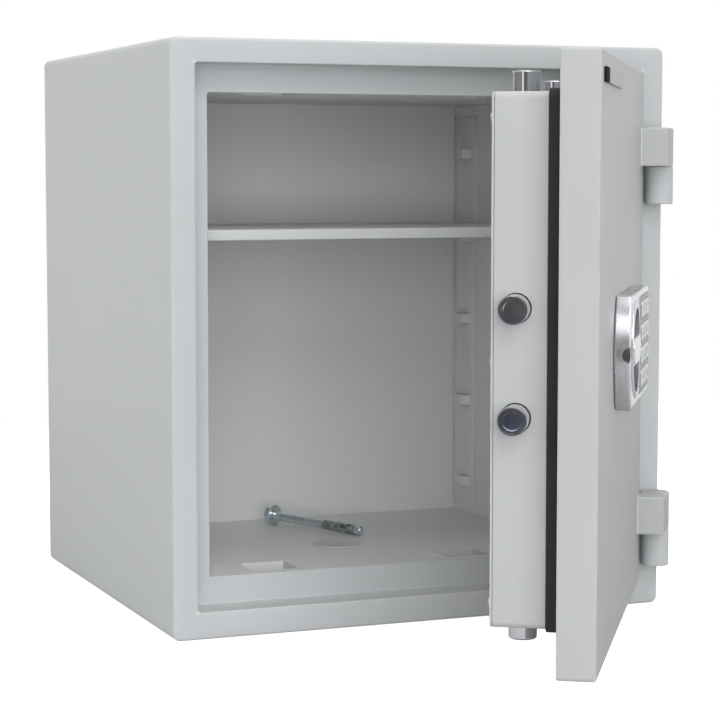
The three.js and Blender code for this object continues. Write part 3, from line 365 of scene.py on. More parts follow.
def colour_mix(tree, factor, first, second):
    """The result of a mix of two colours, or of a colour output and a colour, by a mask."""
    mix = added(tree, "Mix")
    mix.data_type = "RGBA"
    tree.links.new(factor, mix.inputs["Factor"])
    if isinstance(first, bpy.types.NodeSocket):
        tree.links.new(first, mix.inputs["A"])
    else:
        preset(mix, A=first)
    preset(mix, B=second)
    return mix.outputs["Result"]


def tinted(colour, share):
    """The colour, lighter or darker by a share of itself."""
    return [share * part for part in colour[:3]] + [1]


def link_range(tree, value, low, high, socket):
    """Feeds a mask into a socket, spread between two values."""
    spread = added(tree, "MapRange", To_Min=low, To_Max=high)
    tree.links.new(value, spread.inputs["Value"])
    tree.links.new(spread.outputs["Result"], socket)


def link_bump(tree, shader, height, depth):
    """Feeds a height mask into the shader's normal."""
    bump = added(tree, "Bump", Distance=depth)
    tree.links.new(height, bump.inputs["Height"])
    wire(tree, (bump, "Normal", shader, "Normal"))


def coated(name, colour, highlight_colour, boxes, turn=None, highlight_width=0.003, dust=0.25):
    """Powder coat on a piece whose box edges are lightened as a painted highlight, each box given by two
    corners.
    """
    material, tree, shader, where = blank_material(name, turn)
    grain = place_group(tree, grain_group)
    veil = place_group(tree, dust_group, Amount=dust)
    tree.links.new(where, grain.inputs["Position"])
    tree.links.new(where, veil.inputs["Position"])
    tone = grain.outputs["Tone"]
    paint = colour_mix(tree, tone, tinted(colour, 0.97), tinted(colour, 1.03))
    for lowest, highest in boxes:
        centre = (Vector(lowest) + Vector(highest)) / 2
        half = (Vector(highest) - Vector(lowest)) / 2
        # The edges of each box are lightened: painted highlight
        highlight_mask = place_group(tree, edge_highlight_group, Centre=centre, Half_Size=half, Width=highlight_width)
        tree.links.new(where, highlight_mask.inputs["Position"])
        paint = colour_mix(tree, highlight_mask.outputs["Mask"], paint, highlight_colour)
    paint = colour_mix(tree, veil.outputs["Mask"], paint, (0.62, 0.61, 0.58, 1))
    tree.links.new(paint, shader.inputs["Base Color"])
    link_range(tree, tone, coat_roughness - 0.05, coat_roughness + 0.07, shader.inputs["Roughness"])
    link_bump(tree, shader, grain.outputs["Height"], grain_depth * 0.6)
    return material


def finished(piece, body, slot, material, *replaced):
    """Gives a finished piece its material and its body, and hides the CAD nodes it stands for. The slot is
    not used.
    """
    piece.data.materials.clear()
    piece.data.materials.append(material)
    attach(piece, body)
    if replaced:
        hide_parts(*replaced)
    return piece


def dress(node, material):
    """A CAD node that stays gets its material."""
    nodes[node].data.materials.clear()
    nodes[node].data.materials.append(material)


def mesh_piece(name, form, place=None, sharp=None):
    """A new object at the origin from a bmesh, with faces outwards, smooth but for its sharp edges."""
    bmesh.ops.recalc_face_normals(form, faces=form.faces)
    if place is not None:
        form.transform(place)
    mesh = bpy.data.meshes.new(name)
    form.to_mesh(mesh)
    form.free()
    mesh.shade_smooth()
    if sharp is not None:
        mesh.set_sharp_from_angle(angle=math.radians(sharp))
    piece = bpy.data.objects.new(name, mesh)
    put_in_scene(piece)
    return piece


def made_plain(piece):
    """Turns a piece with modifiers into a plain mesh."""
    bpy.context.view_layer.update()
    whole = piece.evaluated_get(bpy.context.evaluated_depsgraph_get())
    mesh = bpy.data.meshes.new_from_object(whole)
    piece.modifiers.clear()
    piece.data = mesh
    return piece


def round_edges(piece, radius, segments=3, limit=35):
    """Rounds the piece's sharp edges."""
    bevel = piece.modifiers.new("rounding", "BEVEL")
    bevel.width = radius
    bevel.segments = segments
    bevel.limit_method = "ANGLE"
    bevel.angle_limit = math.radians(limit)
    bevel.harden_normals = True
    return made_plain(piece)


def softened(node, radius, segments=2, limit=35):
    """A copy of a CAD node with its flat faces whole again and its edges rounded."""
    form = bmesh.new()
    form.from_mesh(nodes[node].data)
    bmesh.ops.remove_doubles(form, verts=form.verts, dist=4e-6)
    bmesh.ops.dissolve_limit(form, angle_limit=math.radians(0.5), verts=form.verts, edges=form.edges)
    return round_edges(mesh_piece(node + "_finish", form), radius, segments, limit)


def grown(area, amount):
    """An area (x0, x1, z0, z1) that is larger by an amount on each side."""
    x0, x1, z0, z1 = area
    return x0 - amount, x1 + amount, z0 - amount, z1 + amount


def rounded_ring(form, area, radius, y, steps=8):
    """Vertices of a rounded rectangle that stands in X and Z at y."""
    x0, x1, z0, z1 = area
    ring = []
    for x, z, start in (
        (x1 - radius, z0 + radius, -0.5),
        (x1 - radius, z1 - radius, 0.0),
        (x0 + radius, z1 - radius, 0.5),
        (x0 + radius, z0 + radius, 1.0),
    ):
        for index in range(steps + 1):
            angle = math.pi * (start + 0.5 * index / steps)
            ring.append(form.verts.new((x + radius * math.cos(angle), y, z + radius * math.sin(angle))))
    return ring


def skinned(form, rings, loop=False):
    """Faces between rings of equal count, with end faces, or joined end to end as a loop."""
    pairs = list(zip(rings, rings[1:]))
    if loop:
        pairs.append((rings[-1], rings[0]))
    else:
        form.faces.new(rings[0])
        form.faces.new(rings[-1])
    for near, far in pairs:
        for index in range(len(near)):
            after = (index + 1) % len(near)
            form.faces.new((near[index], near[after], far[after], far[index]))


def rows_form(rows):
    """A closed form through rows of (area, corner radius, y)."""
    form = bmesh.new()
    skinned(form, [rounded_ring(form, *row) for row in rows])
    return form


def edge_rows(area, corner, y, bend, inward, steps=bend_steps):
    """Rows of (area, corner radius, y) round an outer edge, from the face at y to the full outline.
    inward is 1 where the body lies at higher y, and -1 where it lies at lower y."""
    rows = []
    for index in range(steps + 1):
        angle = math.pi / 2 * index / steps
        inset = bend * (1 - math.sin(angle))
        rows.append((grown(area, -inset), corner - inset, y + inward * bend * (1 - math.cos(angle))))
    return rows


wrap_low, wrap_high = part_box("outer_wrap")
back_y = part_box("back_panel")[1].y
front_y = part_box("front_frame")[0].y
land_y = front_y + rebate_depth
outline = (wrap_low.x, wrap_high.x, wrap_low.z, wrap_high.z)
rebate = (outline[0] + rim_side, outline[1] - rim_side, outline[2] + rim_bottom, outline[3] - rim_top)
opening = (
    rebate[0] + land_free_side, rebate[1] - land_hinge_side, rebate[2] + land_bottom, rebate[3] - land_top
)

rows = edge_rows(outline, shell_corner, back_y, back_bend, -1)
rows += reversed(edge_rows(outline, shell_corner, front_y, front_bend, 1))
for index in range(bend_steps + 1):
    angle = math.pi / 2 * index / bend_steps
    outset = rebate_roll * (1 - math.sin(angle))
    row_y = front_y + rebate_roll * (1 - math.cos(angle))
    rows.append((grown(rebate, outset), rebate_corner + outset, row_y))
wall = grown(rebate, frame_sheet)
wall_corner = rebate_corner + frame_sheet
lining = grown(outline, -shell_sheet)
lining_corner = shell_corner - shell_sheet
rows += [
    (rebate, rebate_corner, land_y - land_fold),
    (grown(rebate, -land_fold / 3), rebate_corner - land_fold / 3, land_y - land_fold / 3),
    (grown(rebate, -land_fold), rebate_corner - land_fold, land_y),
    (grown(opening, land_fold / 2), opening_corner + land_fold / 2, land_y),
    (opening, opening_corner, land_y + land_fold / 2),
    (opening, opening_corner, land_y + frame_sheet),
    (wall, wall_corner, land_y + frame_sheet),
    (wall, wall_corner, front_y + frame_sheet),
    (lining, lining_corner, front_y + frame_sheet),
    (lining, lining_corner, back_y - shell_sheet),
]
cabinet_low = Vector((outline[0], front_y, outline[2]))
cabinet_high = Vector((outline[1], back_y, outline[3]))
rebate_box = ((rebate[0], front_y, rebate[2]), (rebate[1], land_y, rebate[3]))
cabinet_boxes = [(cabinet_low, cabinet_high), rebate_box]
cabinet_coat = coated("cabinet_powder_coat", body_grey, edge_highlight_grey, cabinet_boxes)
shell = mesh_piece("cabinet_shell", rows_form(rows), sharp=40)
finished(shell, "cabinet", "body_paint", cabinet_coat, "outer_wrap", "back_panel", "front_frame")

# Inner box and filling
# Five welded steel sheets with pressed pockets for the bolts, set in cast lightweight concrete.
# Its powder coat is drawn a lighter shade than the shell's, as painted light that brightens the deep inside
# of the box.
inner_lightened_grey = (0.72, 0.735, 0.724, 1)
sheets = ("inner_floor", "inner_ceiling", "inner_wall_free_side", "inner_wall_hinge_side", "inner_back_wall")
inner_box = ((opening[0], land_y, opening[2]), (opening[1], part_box("inner_back_wall")[0].y, opening[3]))
inner_coat = coated("inner_powder_coat", inner_lightened_grey, inner_lightened_grey, [inner_box], highlight_width=0.001)
for node in sheets:
    dress(node, inner_coat)

concrete, tree, shader, where = blank_material("cast_filling")
pores = texture(tree, where, "TexVoronoi", Scale=160)
clouds = texture(tree, where, Scale=14, Detail=6)
stone = colour_mix(tree, clouds.outputs["Fac"], (0.22, 0.215, 0.2, 1), (0.34, 0.33, 0.31, 1))
tree.links.new(stone, shader.inputs["Base Color"])
link_bump(tree, shader, pores.outputs["Distance"], 0.0006)
preset(shader, Roughness=0.92)
dress("body_filling", concrete)
dress("door_filling", concrete)

# Shelf rails and shelf
# Four upright strips with bridge tabs punched out of the sheet, spot welded to the side walls.
# One loose shelf, a tray with folded lips, lies on the fourth row of tabs.
# The shelf's grey is drawn lighter than the cabinet's: painted light
shelf_lightened_grey = (0.64, 0.655, 0.655, 1)
rail_edge = 0.0003
shelf_edge = 0.0007
for place in ("left_front", "left_rear", "right_front", "right_rear"):
    node = f"shelf_rail_{place}"
    finished(softened(node, rail_edge), "cabinet", "inner_paint", inner_coat, node)
shelf_coat = coated("shelf_powder_coat", shelf_lightened_grey, edge_highlight_grey, [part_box("shelf")], highlight_width=0.0015)
finished(softened("shelf", shelf_edge, 3), "shelf_board", "inner_paint", shelf_coat, "shelf")

# Floor cap
# A moulded plastic disc with a plug, pushed into the hole through which the safe is bolted down.
cap_grey = (0.56, 0.57, 0.565, 1)
cap_rise = 0.0015
cap_edge = 0.001
cap_dish = 0.0003
cap_plug_radius = 0.0146
round_steps = 64
near_axis = 0.0001


def turned_rings(form, profile, steps):
    """Rings about Z from rows of radius and height."""
    angles = [2 * math.pi * index / steps for index in range(steps)]
    return [
        [form.verts.new((radius * math.cos(a), radius * math.sin(a), level)) for a in angles]
        for radius, level in profile
    ]


def turned_form(profile, steps=round_steps, loop=False):
    """A closed turned form about Z. Its profile starts and ends near the axis, or is a loop round a tube."""
    form = bmesh.new()
    skinned(form, turned_rings(form, profile, steps), loop)
    return form


cap_plastic, tree, shader, where = blank_material("cap_plastic")
grain = place_group(tree, grain_group, Grain=0.0006)
tree.links.new(where, grain.inputs["Position"])
plastic = colour_mix(tree, grain.outputs["Tone"], tinted(cap_grey, 0.95), tinted(cap_grey, 1.05))
tree.links.new(plastic, shader.inputs["Base Color"])
link_bump(tree, shader, grain.outputs["Height"], 0.00004)
preset(shader, Roughness=0.55)
cap_low, cap_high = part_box("anchor_hole_cap")
cap_middle = (cap_low + cap_high) / 2
cap_radius = (cap_high.x - cap_low.x) / 2
cap_seat = cap_high.z - cap_rise
cap_profile = [
    (near_axis, cap_low.z),
    (cap_plug_radius, cap_low.z),
    (cap_plug_radius, cap_seat),
    (cap_radius, cap_seat),
    (cap_radius, cap_high.z - cap_edge),
    (cap_radius - 0.3 * cap_edge, cap_high.z - 0.3 * cap_edge),
    (cap_radius - cap_edge, cap_high.z),
    (cap_radius - 2 * cap_edge, cap_high.z),
    (cap_radius - 3 * cap_edge, cap_high.z - cap_dish),
    (near_axis, cap_high.z - cap_dish),
]
cap_place = Matrix.Translation((cap_middle.x, cap_middle.y, 0))
cap = mesh_piece("anchor_hole_cap_finish", turned_form(cap_profile), cap_place, 30)
finished(cap, "cabinet", "cap_plastic", cap_plastic, "anchor_hole_cap")

# Sleeve anchor
# A zinc-plated hex bolt that lies on the floor with its washer, distance sleeve, plastic crush ring,
# slit expansion sleeve and cone nut threaded on it.
anchor_edge = 0.0005
hex_chamfer = 0.0012
hex_chamfer_height = 0.0008
cone_taper = 0.004
collar_length = 0.005


def metal(name, colour, roughness, mottle=0.04, speck_scale=900, depth=0.00001, metallic=1.0, cloud_scale=70):
    """Plated steel: an uneven tone, fine specks in its gloss and a little relief."""
    material, tree, shader, where = blank_material(name)
    cloud = texture(tree, where, Scale=cloud_scale, Detail=5)
    patchy = added(tree, "MapRange", From_Min=0.38, From_Max=0.62)
    speck = texture(tree, where, Scale=speck_scale, Detail=2)
    wire(tree, (cloud, "Fac", patchy, "Value"))
    tone = colour_mix(tree, patchy.outputs["Result"], tinted(colour, 1 - mottle), tinted(colour, 1 + mottle))
    tree.links.new(tone, shader.inputs["Base Color"])
    link_range(tree, speck.outputs["Fac"], roughness * 0.75, roughness * 1.3, shader.inputs["Roughness"])
    link_bump(tree, shader, speck.outputs["Fac"], depth)
    preset(shader, Metallic=metallic)
    return material


def node_points(node):
    """The different points of a CAD node."""
    points = {tuple(round(part, 6) for part in vertex.co) for vertex in nodes[node].data.vertices}
    return [Vector(point) for point in points]


def along_axis(origin, axis):
    """A matrix that lays a form made about Z along an axis from an origin."""
    return Matrix.Translation(origin) @ Vector(axis).to_track_quat("Z", "Y").to_matrix().to_4x4()


zinc = metal("zinc_plate", (0.70, 0.76, 0.81, 1), 0.28, mottle=0.05, speck_scale=500, depth=0.000006)
worn_zinc = metal(
    "worn_zinc", (0.42, 0.45, 0.47, 1), 0.28, mottle=0.55, speck_scale=350, depth=0.00006, cloud_scale=180
)
grey_plastic = metal("crush_ring_plastic", (0.20, 0.215, 0.22, 1), 0.45, mottle=0.3, metallic=0.0)
washer_points, sleeve_points = node_points("anchor_washer"), node_points("anchor_sleeve")
washer_centre = sum(washer_points, Vector()) / len(washer_points)
anchor_axis = (sum(sleeve_points, Vector()) / len(sleeve_points) - washer_centre).normalized()
anchor_place = along_axis(washer_centre, anchor_axis)


def axial(node):
    """(start, end, outer radius, inner radius) of an anchor piece along the anchor's axis."""
    offsets = [point - washer_centre for point in node_points(node)]
    levels = [offset.dot(anchor_axis) for offset in offsets]
    radii = [(offset - level * anchor_axis).length for offset, level in zip(offsets, levels)]
    return min(levels), max(levels), max(radii), min(radii)


bolt_start, bolt_end, head_radius, _ = axial("anchor_bolt")
washer_start, _, _, anchor_bore = axial("anchor_washer")
rod_radius = anchor_bore - 0.0004
form = bmesh.new()
head_rows = [
    (head_radius - hex_chamfer, bolt_start),
    (head_radius, bolt_start + hex_chamfer_height),
    (head_radius, washer_start - 0.0003),
]
skinned(form, turned_rings(form, head_rows, 6))
rod_rows = [
    (near_axis, washer_start - 0.001),
    (rod_radius, washer_start - 0.001),
    (rod_radius, bolt_end - 0.001),
    (rod_radius - 0.0007, bolt_end),
    (near_axis, bolt_end),
]
skinned(form, turned_rings(form, rod_rows, 40))
anchor_bolt = mesh_piece("anchor_bolt_finish", form, anchor_place, 25)
finished(anchor_bolt, "anchor_set", "zinc_steel", zinc, "anchor_bolt")

for node, material, slot in (
    ("anchor_washer", zinc, "zinc_steel"),
    ("anchor_sleeve", zinc, "zinc_steel"),
    ("anchor_crush_ring", grey_plastic, "dark_plastic"),
):
    start, end, outer, inner = axial(node)
    tube_rows = [
        (inner, start),
        (outer - anchor_edge, start),
        (outer, start + anchor_edge),
        (outer, end - anchor_edge),
        (outer - anchor_edge, end),
        (inner, end),
    ]
    piece = mesh_piece(node + "_finish", turned_form(tube_rows, loop=True), anchor_place, 30)
    finished(piece, "anchor_set", slot, material, node)
start = axial("anchor_expansion_sleeve")[0]
sleeve = softened("anchor_expansion_sleeve", 0.0002)
finished(sleeve, "anchor_set", "zinc_steel", worn_zinc, "anchor_expansion_sleeve")
sleeve.data.materials.append(zinc)
for face in sleeve.data.polygons:
    if (face.center - washer_centre).dot(anchor_axis) < start + collar_length:
        face.material_index = 1
start, end, outer, inner = axial("anchor_cone_nut")
cone_rows = [
    (inner, start),
    (outer - 0.0006, start),
    (outer, start + cone_taper),
    (outer, end - anchor_edge),
    (outer - anchor_edge, end),
    (inner, end),
]
cone = mesh_piece("anchor_cone_nut_finish", turned_form(cone_rows, loop=True), anchor_place, 30)
finished(cone, "anchor_set", "zinc_steel", zinc, "anchor_cone_nut")

# Hinges
# Barrels welded to the front frame and arms welded to the door, on plain steel pins.
# Barrels and arms are painted with the cabinet and the door, so they carry the same coats.
swing = next(joint for joint in frame["joints"] if joint["name"] == "door_swing")
hinge = Vector(swing["pos_m"])
open_angle = -math.radians(swing["range_deg"][0])
to_rest = Matrix.Translation(hinge) @ Matrix.Rotation(open_angle, 4, "Z") @ Matrix.Translation(-hinge)
to_closed = to_rest.inverted()
# The door's grey is the cabinet's paint drawn darker: painted shade
door_shaded_grey = (0.460, 0.471, 0.474, 1)
hinge_radius = 0.016
hinge_edge = 0.0014
weld_pad = 0.010
strap_thickness = 0.030
arm_edge = 0.0035
seam = 0.0003


def closed_box(node):
    """(lowest corner, highest corner) of a door node with the door closed."""
    corners = [to_closed @ vertex.co for vertex in nodes[node].data.vertices]
    lowest = Vector(min(corner[axis] for corner in corners) for axis in range(3))
    highest = Vector(max(corner[axis] for corner in corners) for axis in range(3))
    return lowest, highest


def arc(centre, radius, start, end, steps):
    """Points on an arc, its angles in degrees."""
    angles = [math.radians(start + (end - start) * index / steps) for index in range(steps + 1)]
    return [(centre[0] + radius * math.cos(a), centre[1] + radius * math.sin(a)) for a in angles]


def upright_form(points, z0, z1):
    """A closed form with an outline in X and Y, from z0 up to z1."""
    form = bmesh.new()
    skinned(form, [[form.verts.new((x, y, level)) for x, y in points] for level in (z0, z1)])
    return form


slab_low, slab_high = closed_box("door_front_tray")
# The edges of the slab and the hinge arms get the painted highlight
highlight_boxes = [closed_box(node) for node in ("door_front_tray", "hinge_arm_top", "hinge_arm_bottom")]
door_coat = coated("door_powder_coat", door_shaded_grey, edge_highlight_grey, highlight_boxes, to_closed)
pad_angle = math.degrees(math.acos(weld_pad / hinge_radius))
barrel_outline = arc(hinge, hinge_radius, 180 - pad_angle, 360 + pad_angle, 44)
barrel_outline += [(hinge.x + weld_pad, front_y - seam), (hinge.x - weld_pad, front_y - seam)]
strap_x = closed_box("hinge_arm_top")[0].x
strap_y = front_y - strap_thickness
to_strap = Vector((strap_x - hinge.x, strap_y - hinge.y))
tangent = math.degrees(math.atan2(to_strap.y, to_strap.x) + math.acos(hinge_radius / to_strap.length))
arm_outline = [(strap_x, front_y + arm_edge), (strap_x, strap_y)]
arm_outline += arc(hinge, hinge_radius, tangent, 90, 40)
arm_outline += [(slab_high.x, front_y - seam), (slab_high.x - 0.001, front_y + arm_edge)]
for place in ("top", "bottom"):
    node = f"hinge_barrel_{place}"
    lowest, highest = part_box(node)
    piece = mesh_piece(node + "_finish", upright_form(barrel_outline, lowest.z, highest.z))
    finished(round_edges(piece, hinge_edge), "cabinet", "body_paint", cabinet_coat, node)
    node = f"hinge_arm_{place}"
    lowest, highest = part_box(node)
    piece = mesh_piece(node + "_finish", upright_form(arm_outline, lowest.z, highest.z), to_rest)
    finished(round_edges(piece, arm_edge, 5), "door", "door_paint", door_coat, node)
    dress(f"hinge_pin_{place}", zinc)

# Door slab
# A front tray folded from sheet steel and closed by a back plate, welded and filled with concrete.
# The bends along its edges are rounded, and the whole slab is coated like the cabinet, in a darker grey that
# is painted shade.
slab_corner = 0.0045
slab_front_bend = 0.0032
slab_back_bend = 0.0022

slab_area = (slab_low.x, slab_high.x, slab_low.z, slab_high.z)
rows = edge_rows(slab_area, slab_corner, slab_low.y, slab_front_bend, 1)
rows += reversed(edge_rows(slab_area, slab_corner, slab_high.y, slab_back_bend, -1))
slab = mesh_piece("door_slab", rows_form(rows), to_rest, 40)
finished(slab, "door", "door_paint", door_coat, "door_front_tray", "door_back_plate")

# Bare badge place
# A thin plate on the door's outer face, one part black enamel and the other bright metal, with no words.
badge_inset = 0.023
badge_width = 0.180
badge_black_width = 0.032
badge_split = 0.001
badge_z0, badge_z1 = 0.5895, 0.6035
badge_thickness = 0.0028
badge_corner = 0.0015
badge_seat = 0.00005
badge_edge = 0.0003


def plate_piece(name, area, corner, y0, y1, edge):
    """A plate with round corners and edges, drawn on the closed door and moved to rest."""
    form = rows_form([(area, corner, y) for y in (y0, y1)])
    return round_edges(mesh_piece(name, form, to_rest), edge)


bright = metal(
    "badge_metal", (0.37, 0.38, 0.38, 1), 0.5,
    mottle=0.05, speck_scale=1500, depth=0.000004, metallic=0.8, cloud_scale=30,
)
enamel, tree, shader, where = blank_material("badge_enamel")
specks = texture(tree, where, Scale=800)
black = colour_mix(tree, specks.outputs["Fac"], (0.008, 0.008, 0.009, 1), (0.02, 0.02, 0.022, 1))
tree.links.new(black, shader.inputs["Base Color"])
link_range(tree, specks.outputs["Fac"], 0.6, 0.75, shader.inputs["Roughness"])
preset(shader, Specular_IOR_Level=0.02)
badge_x0 = slab_low.x + badge_inset
badge_split_x = badge_x0 + badge_black_width
badge_area = (badge_x0, badge_split_x, badge_z0, badge_z1)
bright_area = (badge_split_x + badge_split, badge_x0 + badge_width, badge_z0, badge_z1)
for name, area, material in (
    ("badge_enamel_plate", badge_area, enamel),
    ("badge_bright_plate", bright_area, bright),
):
    plate_front, plate_back = slab_low.y - badge_thickness, slab_low.y - badge_seat
    plate = plate_piece(name, area, badge_corner, plate_front, plate_back, badge_edge)
    finished(plate, "door", "lock_chrome", material)

# Bolt box
# A deep sheet-steel frame on the back of the door that holds the bolt work, closed by a screwed cover.
# A black foam seal runs round its foot.
box_corner = 0.007
box_sheet = 0.002
box_edge = 0.0004
cover_edge = 0.0009
hole_radius = 0.0146
hole_steps = 64
hole_reach = 0.06
seal_rise = 0.0028
seal_edge = 0.001
side_bolts = ("side_bolt_lower", "side_bolt_upper")
end_bolts = ("top_bolt_free_side", "top_bolt_hinge_side", "bottom_bolt_free_side", "bottom_bolt_hinge_side")


def carve(piece, form, operation="DIFFERENCE"):
    """Cuts a form out of the piece, or joins it to the piece."""
    tool = mesh_piece("carving_tool", form)
    cutting = piece.modifiers.new("cut", "BOOLEAN")
    cutting.object = tool
    cutting.operation = operation
    cutting.solver = "EXACT"
    made_plain(piece)
    bpy.data.objects.remove(tool)


def ring_piece(name, outer, outer_corner, inner, inner_corner, y0, y1):
    """A frame of sheet between two rounded rectangles, drawn on the closed door."""
    form = bmesh.new()
    rings = [rounded_ring(form, outer, outer_corner, y) for y in (y0, y1)]
    rings += [rounded_ring(form, inner, inner_corner, y) for y in (y1, y0)]
    skinned(form, rings, True)
    return mesh_piece(name, form, sharp=30)


box_low, box_high = closed_box("bolt_box")
cover_low, cover_high = closed_box("bolt_box_cover")
box_area = (box_low.x, box_high.x, box_low.z, box_high.z)
# The bolt box has the door's darker grey, which is painted shade, and the painted edge highlight
box_coat = coated("bolt_box_powder_coat", door_shaded_grey, edge_highlight_grey, [(box_low, cover_high)], to_closed, 0.002)
bolt_box = ring_piece(
    "bolt_box_finish", box_area, box_corner, grown(box_area, -box_sheet), box_corner - box_sheet,
    box_low.y, box_high.y,
)
for node in side_bolts + end_bolts:
    lowest, highest = closed_box(node)
    middle = (lowest + highest) / 2
    axis = Vector((1, 0, 0)) if node in side_bolts else Vector((0, 0, 1))
    hole_rows = [(near_axis, -hole_reach), (hole_radius, -hole_reach)]
    hole_rows += [(hole_radius, hole_reach), (near_axis, hole_reach)]
    hole = turned_form(hole_rows, hole_steps)
    hole.transform(along_axis(middle, axis))
    carve(bolt_box, hole)
round_edges(bolt_box, box_edge, 2, 50)
bolt_box.data.transform(to_rest)
finished(bolt_box, "door", "door_paint", box_coat, "bolt_box")
cover = plate_piece("bolt_box_cover_finish", box_area, box_corner, cover_low.y, cover_high.y, cover_edge)
finished(cover, "door", "door_paint", box_coat, "bolt_box_cover")

foam, tree, shader, where = blank_material("seal_foam")
cells = texture(tree, where, "TexVoronoi", Scale=900)
black = colour_mix(tree, cells.outputs["Distance"], (0.010, 0.010, 0.011, 1), (0.032, 0.032, 0.034, 1))
tree.links.new(black, shader.inputs["Base Color"])
link_bump(tree, shader, cells.outputs["Distance"], 0.0002)
preset(shader, Roughness=0.85)
seal_low, seal_high = closed_box("door_seal")
seal_inner = grown(box_area, seam)
seal_corner = box_corner + seam
seal = ring_piece(
    "door_seal_finish", grown(seal_inner, seal_rise), seal_corner + seal_rise, seal_inner, seal_corner,
    seal_low.y, seal_high.y,
)
round_edges(seal, seal_edge)
seal.data.transform(to_rest)
finished(seal, "door", "seal_rubber", foam, "door_seal")

# Cover screws
# Pan-head screws with washers hold the cover, in a row down each side and one across each end.
screw_head_radius = 0.0048
screw_head_height = 0.0028
screw_washer_radius = 0.0056
screw_washer_height = 0.0006
screw_inset = 0.009
screw_levels = (0.047, 0.500, 0.953)

tree = bpy.data.node_groups.new("cover_screws", "GeometryNodeTree")
tree.interface.new_socket("Places", in_out="INPUT", socket_type="NodeSocketGeometry")
screw_sizes = {
    "Head Radius": screw_head_radius,
    "Head Height": screw_head_height,
    "Washer Radius": screw_washer_radius,
    "Washer Height": screw_washer_height,
}
for socket in screw_sizes:
    tree.interface.new_socket(socket, in_out="INPUT", socket_type="NodeSocketFloat")
tree.interface.new_socket("Screws", in_out="OUTPUT", socket_type="NodeSocketGeometry")
entry = tree.nodes.new("NodeGroupInput")
leave = tree.nodes.new("NodeGroupOutput")
head = tree.nodes.new("GeometryNodeMeshUVSphere")
washer = tree.nodes.new("GeometryNodeMeshCylinder")
squash_size = added(tree, "CombineXYZ", X=1, Y=1)
squash_share = added(tree, "Math", "DIVIDE")
flatten = tree.nodes.new("GeometryNodeTransform")
lift_washer = tree.nodes.new("GeometryNodeTransform")
half_height = added(tree, "Math", "MULTIPLY")
washer_place = added(tree, "CombineXYZ")
stack = tree.nodes.new("GeometryNodeJoinGeometry")
smooth = tree.nodes.new("GeometryNodeSetShadeSmooth")
to_points = tree.nodes.new("GeometryNodeMeshToPoints")
spread = tree.nodes.new("GeometryNodeInstanceOnPoints")
real = tree.nodes.new("GeometryNodeRealizeInstances")
set_material = tree.nodes.new("GeometryNodeSetMaterial")
preset(head, Segments=28, Rings=14)
preset(washer, Vertices=28)
half_height.inputs[1].default_value = 0.5
screw_zinc = metal("screw_zinc", (0.66, 0.68, 0.70, 1), 0.28, mottle=0.05)
preset(set_material, Material=screw_zinc)
wire(
    tree, (entry, "Head Radius", head, "Radius"), (entry, "Head Height", squash_share, 0),
    (entry, "Head Radius", squash_share, 1), (squash_share, "Value", squash_size, "Z"),
    (head, "Mesh", flatten, "Geometry"), (squash_size, "Vector", flatten, "Scale"),
    (entry, "Washer Radius", washer, "Radius"), (entry, "Washer Height", washer, "Depth"),
    (entry, "Washer Height", half_height, 0), (half_height, "Value", washer_place, "Z"),
    (washer, "Mesh", lift_washer, "Geometry"), (washer_place, "Vector", lift_washer, "Translation"),
    (flatten, "Geometry", stack, "Geometry"), (lift_washer, "Geometry", stack, "Geometry"),
    (stack, "Geometry", smooth, "Geometry"), (entry, "Places", to_points, "Mesh"),
    (to_points, "Points", spread, "Points"), (smooth, "Geometry", spread, "Instance"),
    (spread, "Instances", real, "Geometry"), (real, "Geometry", set_material, "Geometry"),
    (set_material, "Geometry", leave, "Screws"),
)

cover_height = cover_high.z - cover_low.z
middle_x = (cover_low.x + cover_high.x) / 2
screw_places = [(middle_x, cover_low.z + screw_inset), (middle_x, cover_high.z - screw_inset)]
for share in screw_levels:
    level = cover_low.z + share * cover_height
    screw_places += [(cover_low.x + screw_inset, level), (cover_high.x - screw_inset, level)]
places = bpy.data.meshes.new("cover_screws")
places.from_pydata([(x, -level, cover_high.y) for x, level in screw_places], [], [])
screws = bpy.data.objects.new("cover_screws", places)
put_in_scene(screws)
maker = screws.modifiers.new("screws", "NODES")
maker.node_group = tree
for item in tree.interface.items_tree:
    if item.name in screw_sizes:
        maker[item.identifier] = screw_sizes[item.name]
made_plain(screws)
screws.data.transform(to_rest @ Matrix.Rotation(-math.pi / 2, 4, "X"))
screws.data.set_sharp_from_angle(angle=math.radians(50))
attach(screws, "door")

# Locking bolts
# Round steel bars, turned, chamfered and hard chrome plated, that slide in the holes of the bolt box.
bolt_radius = 0.014
bolt_chamfer = 0.0014
bolt_crown = 0.00018
bolt_groove = 0.00003
bolt_steps = 96


def chromed(name, colour, roughness):
    """Chrome over a machined surface: nearly clean, with faint marks and a hazy patch here and there."""
    material, tree, shader, where = blank_material(name)
    haze = texture(tree, where, Scale=45, Detail=5)
    marks = texture(tree, where, Scale=700)
    tone = colour_mix(tree, haze.outputs["Fac"], tinted(colour, 0.95), tinted(colour, 1.04))
    tree.links.new(tone, shader.inputs["Base Color"])
    link_range(tree, haze.outputs["Fac"], roughness * 0.5, roughness * 1.6, shader.inputs["Roughness"])
    link_bump(tree, shader, marks.outputs["Fac"], 0.000002)
    preset(shader, Metallic=1)
    return material


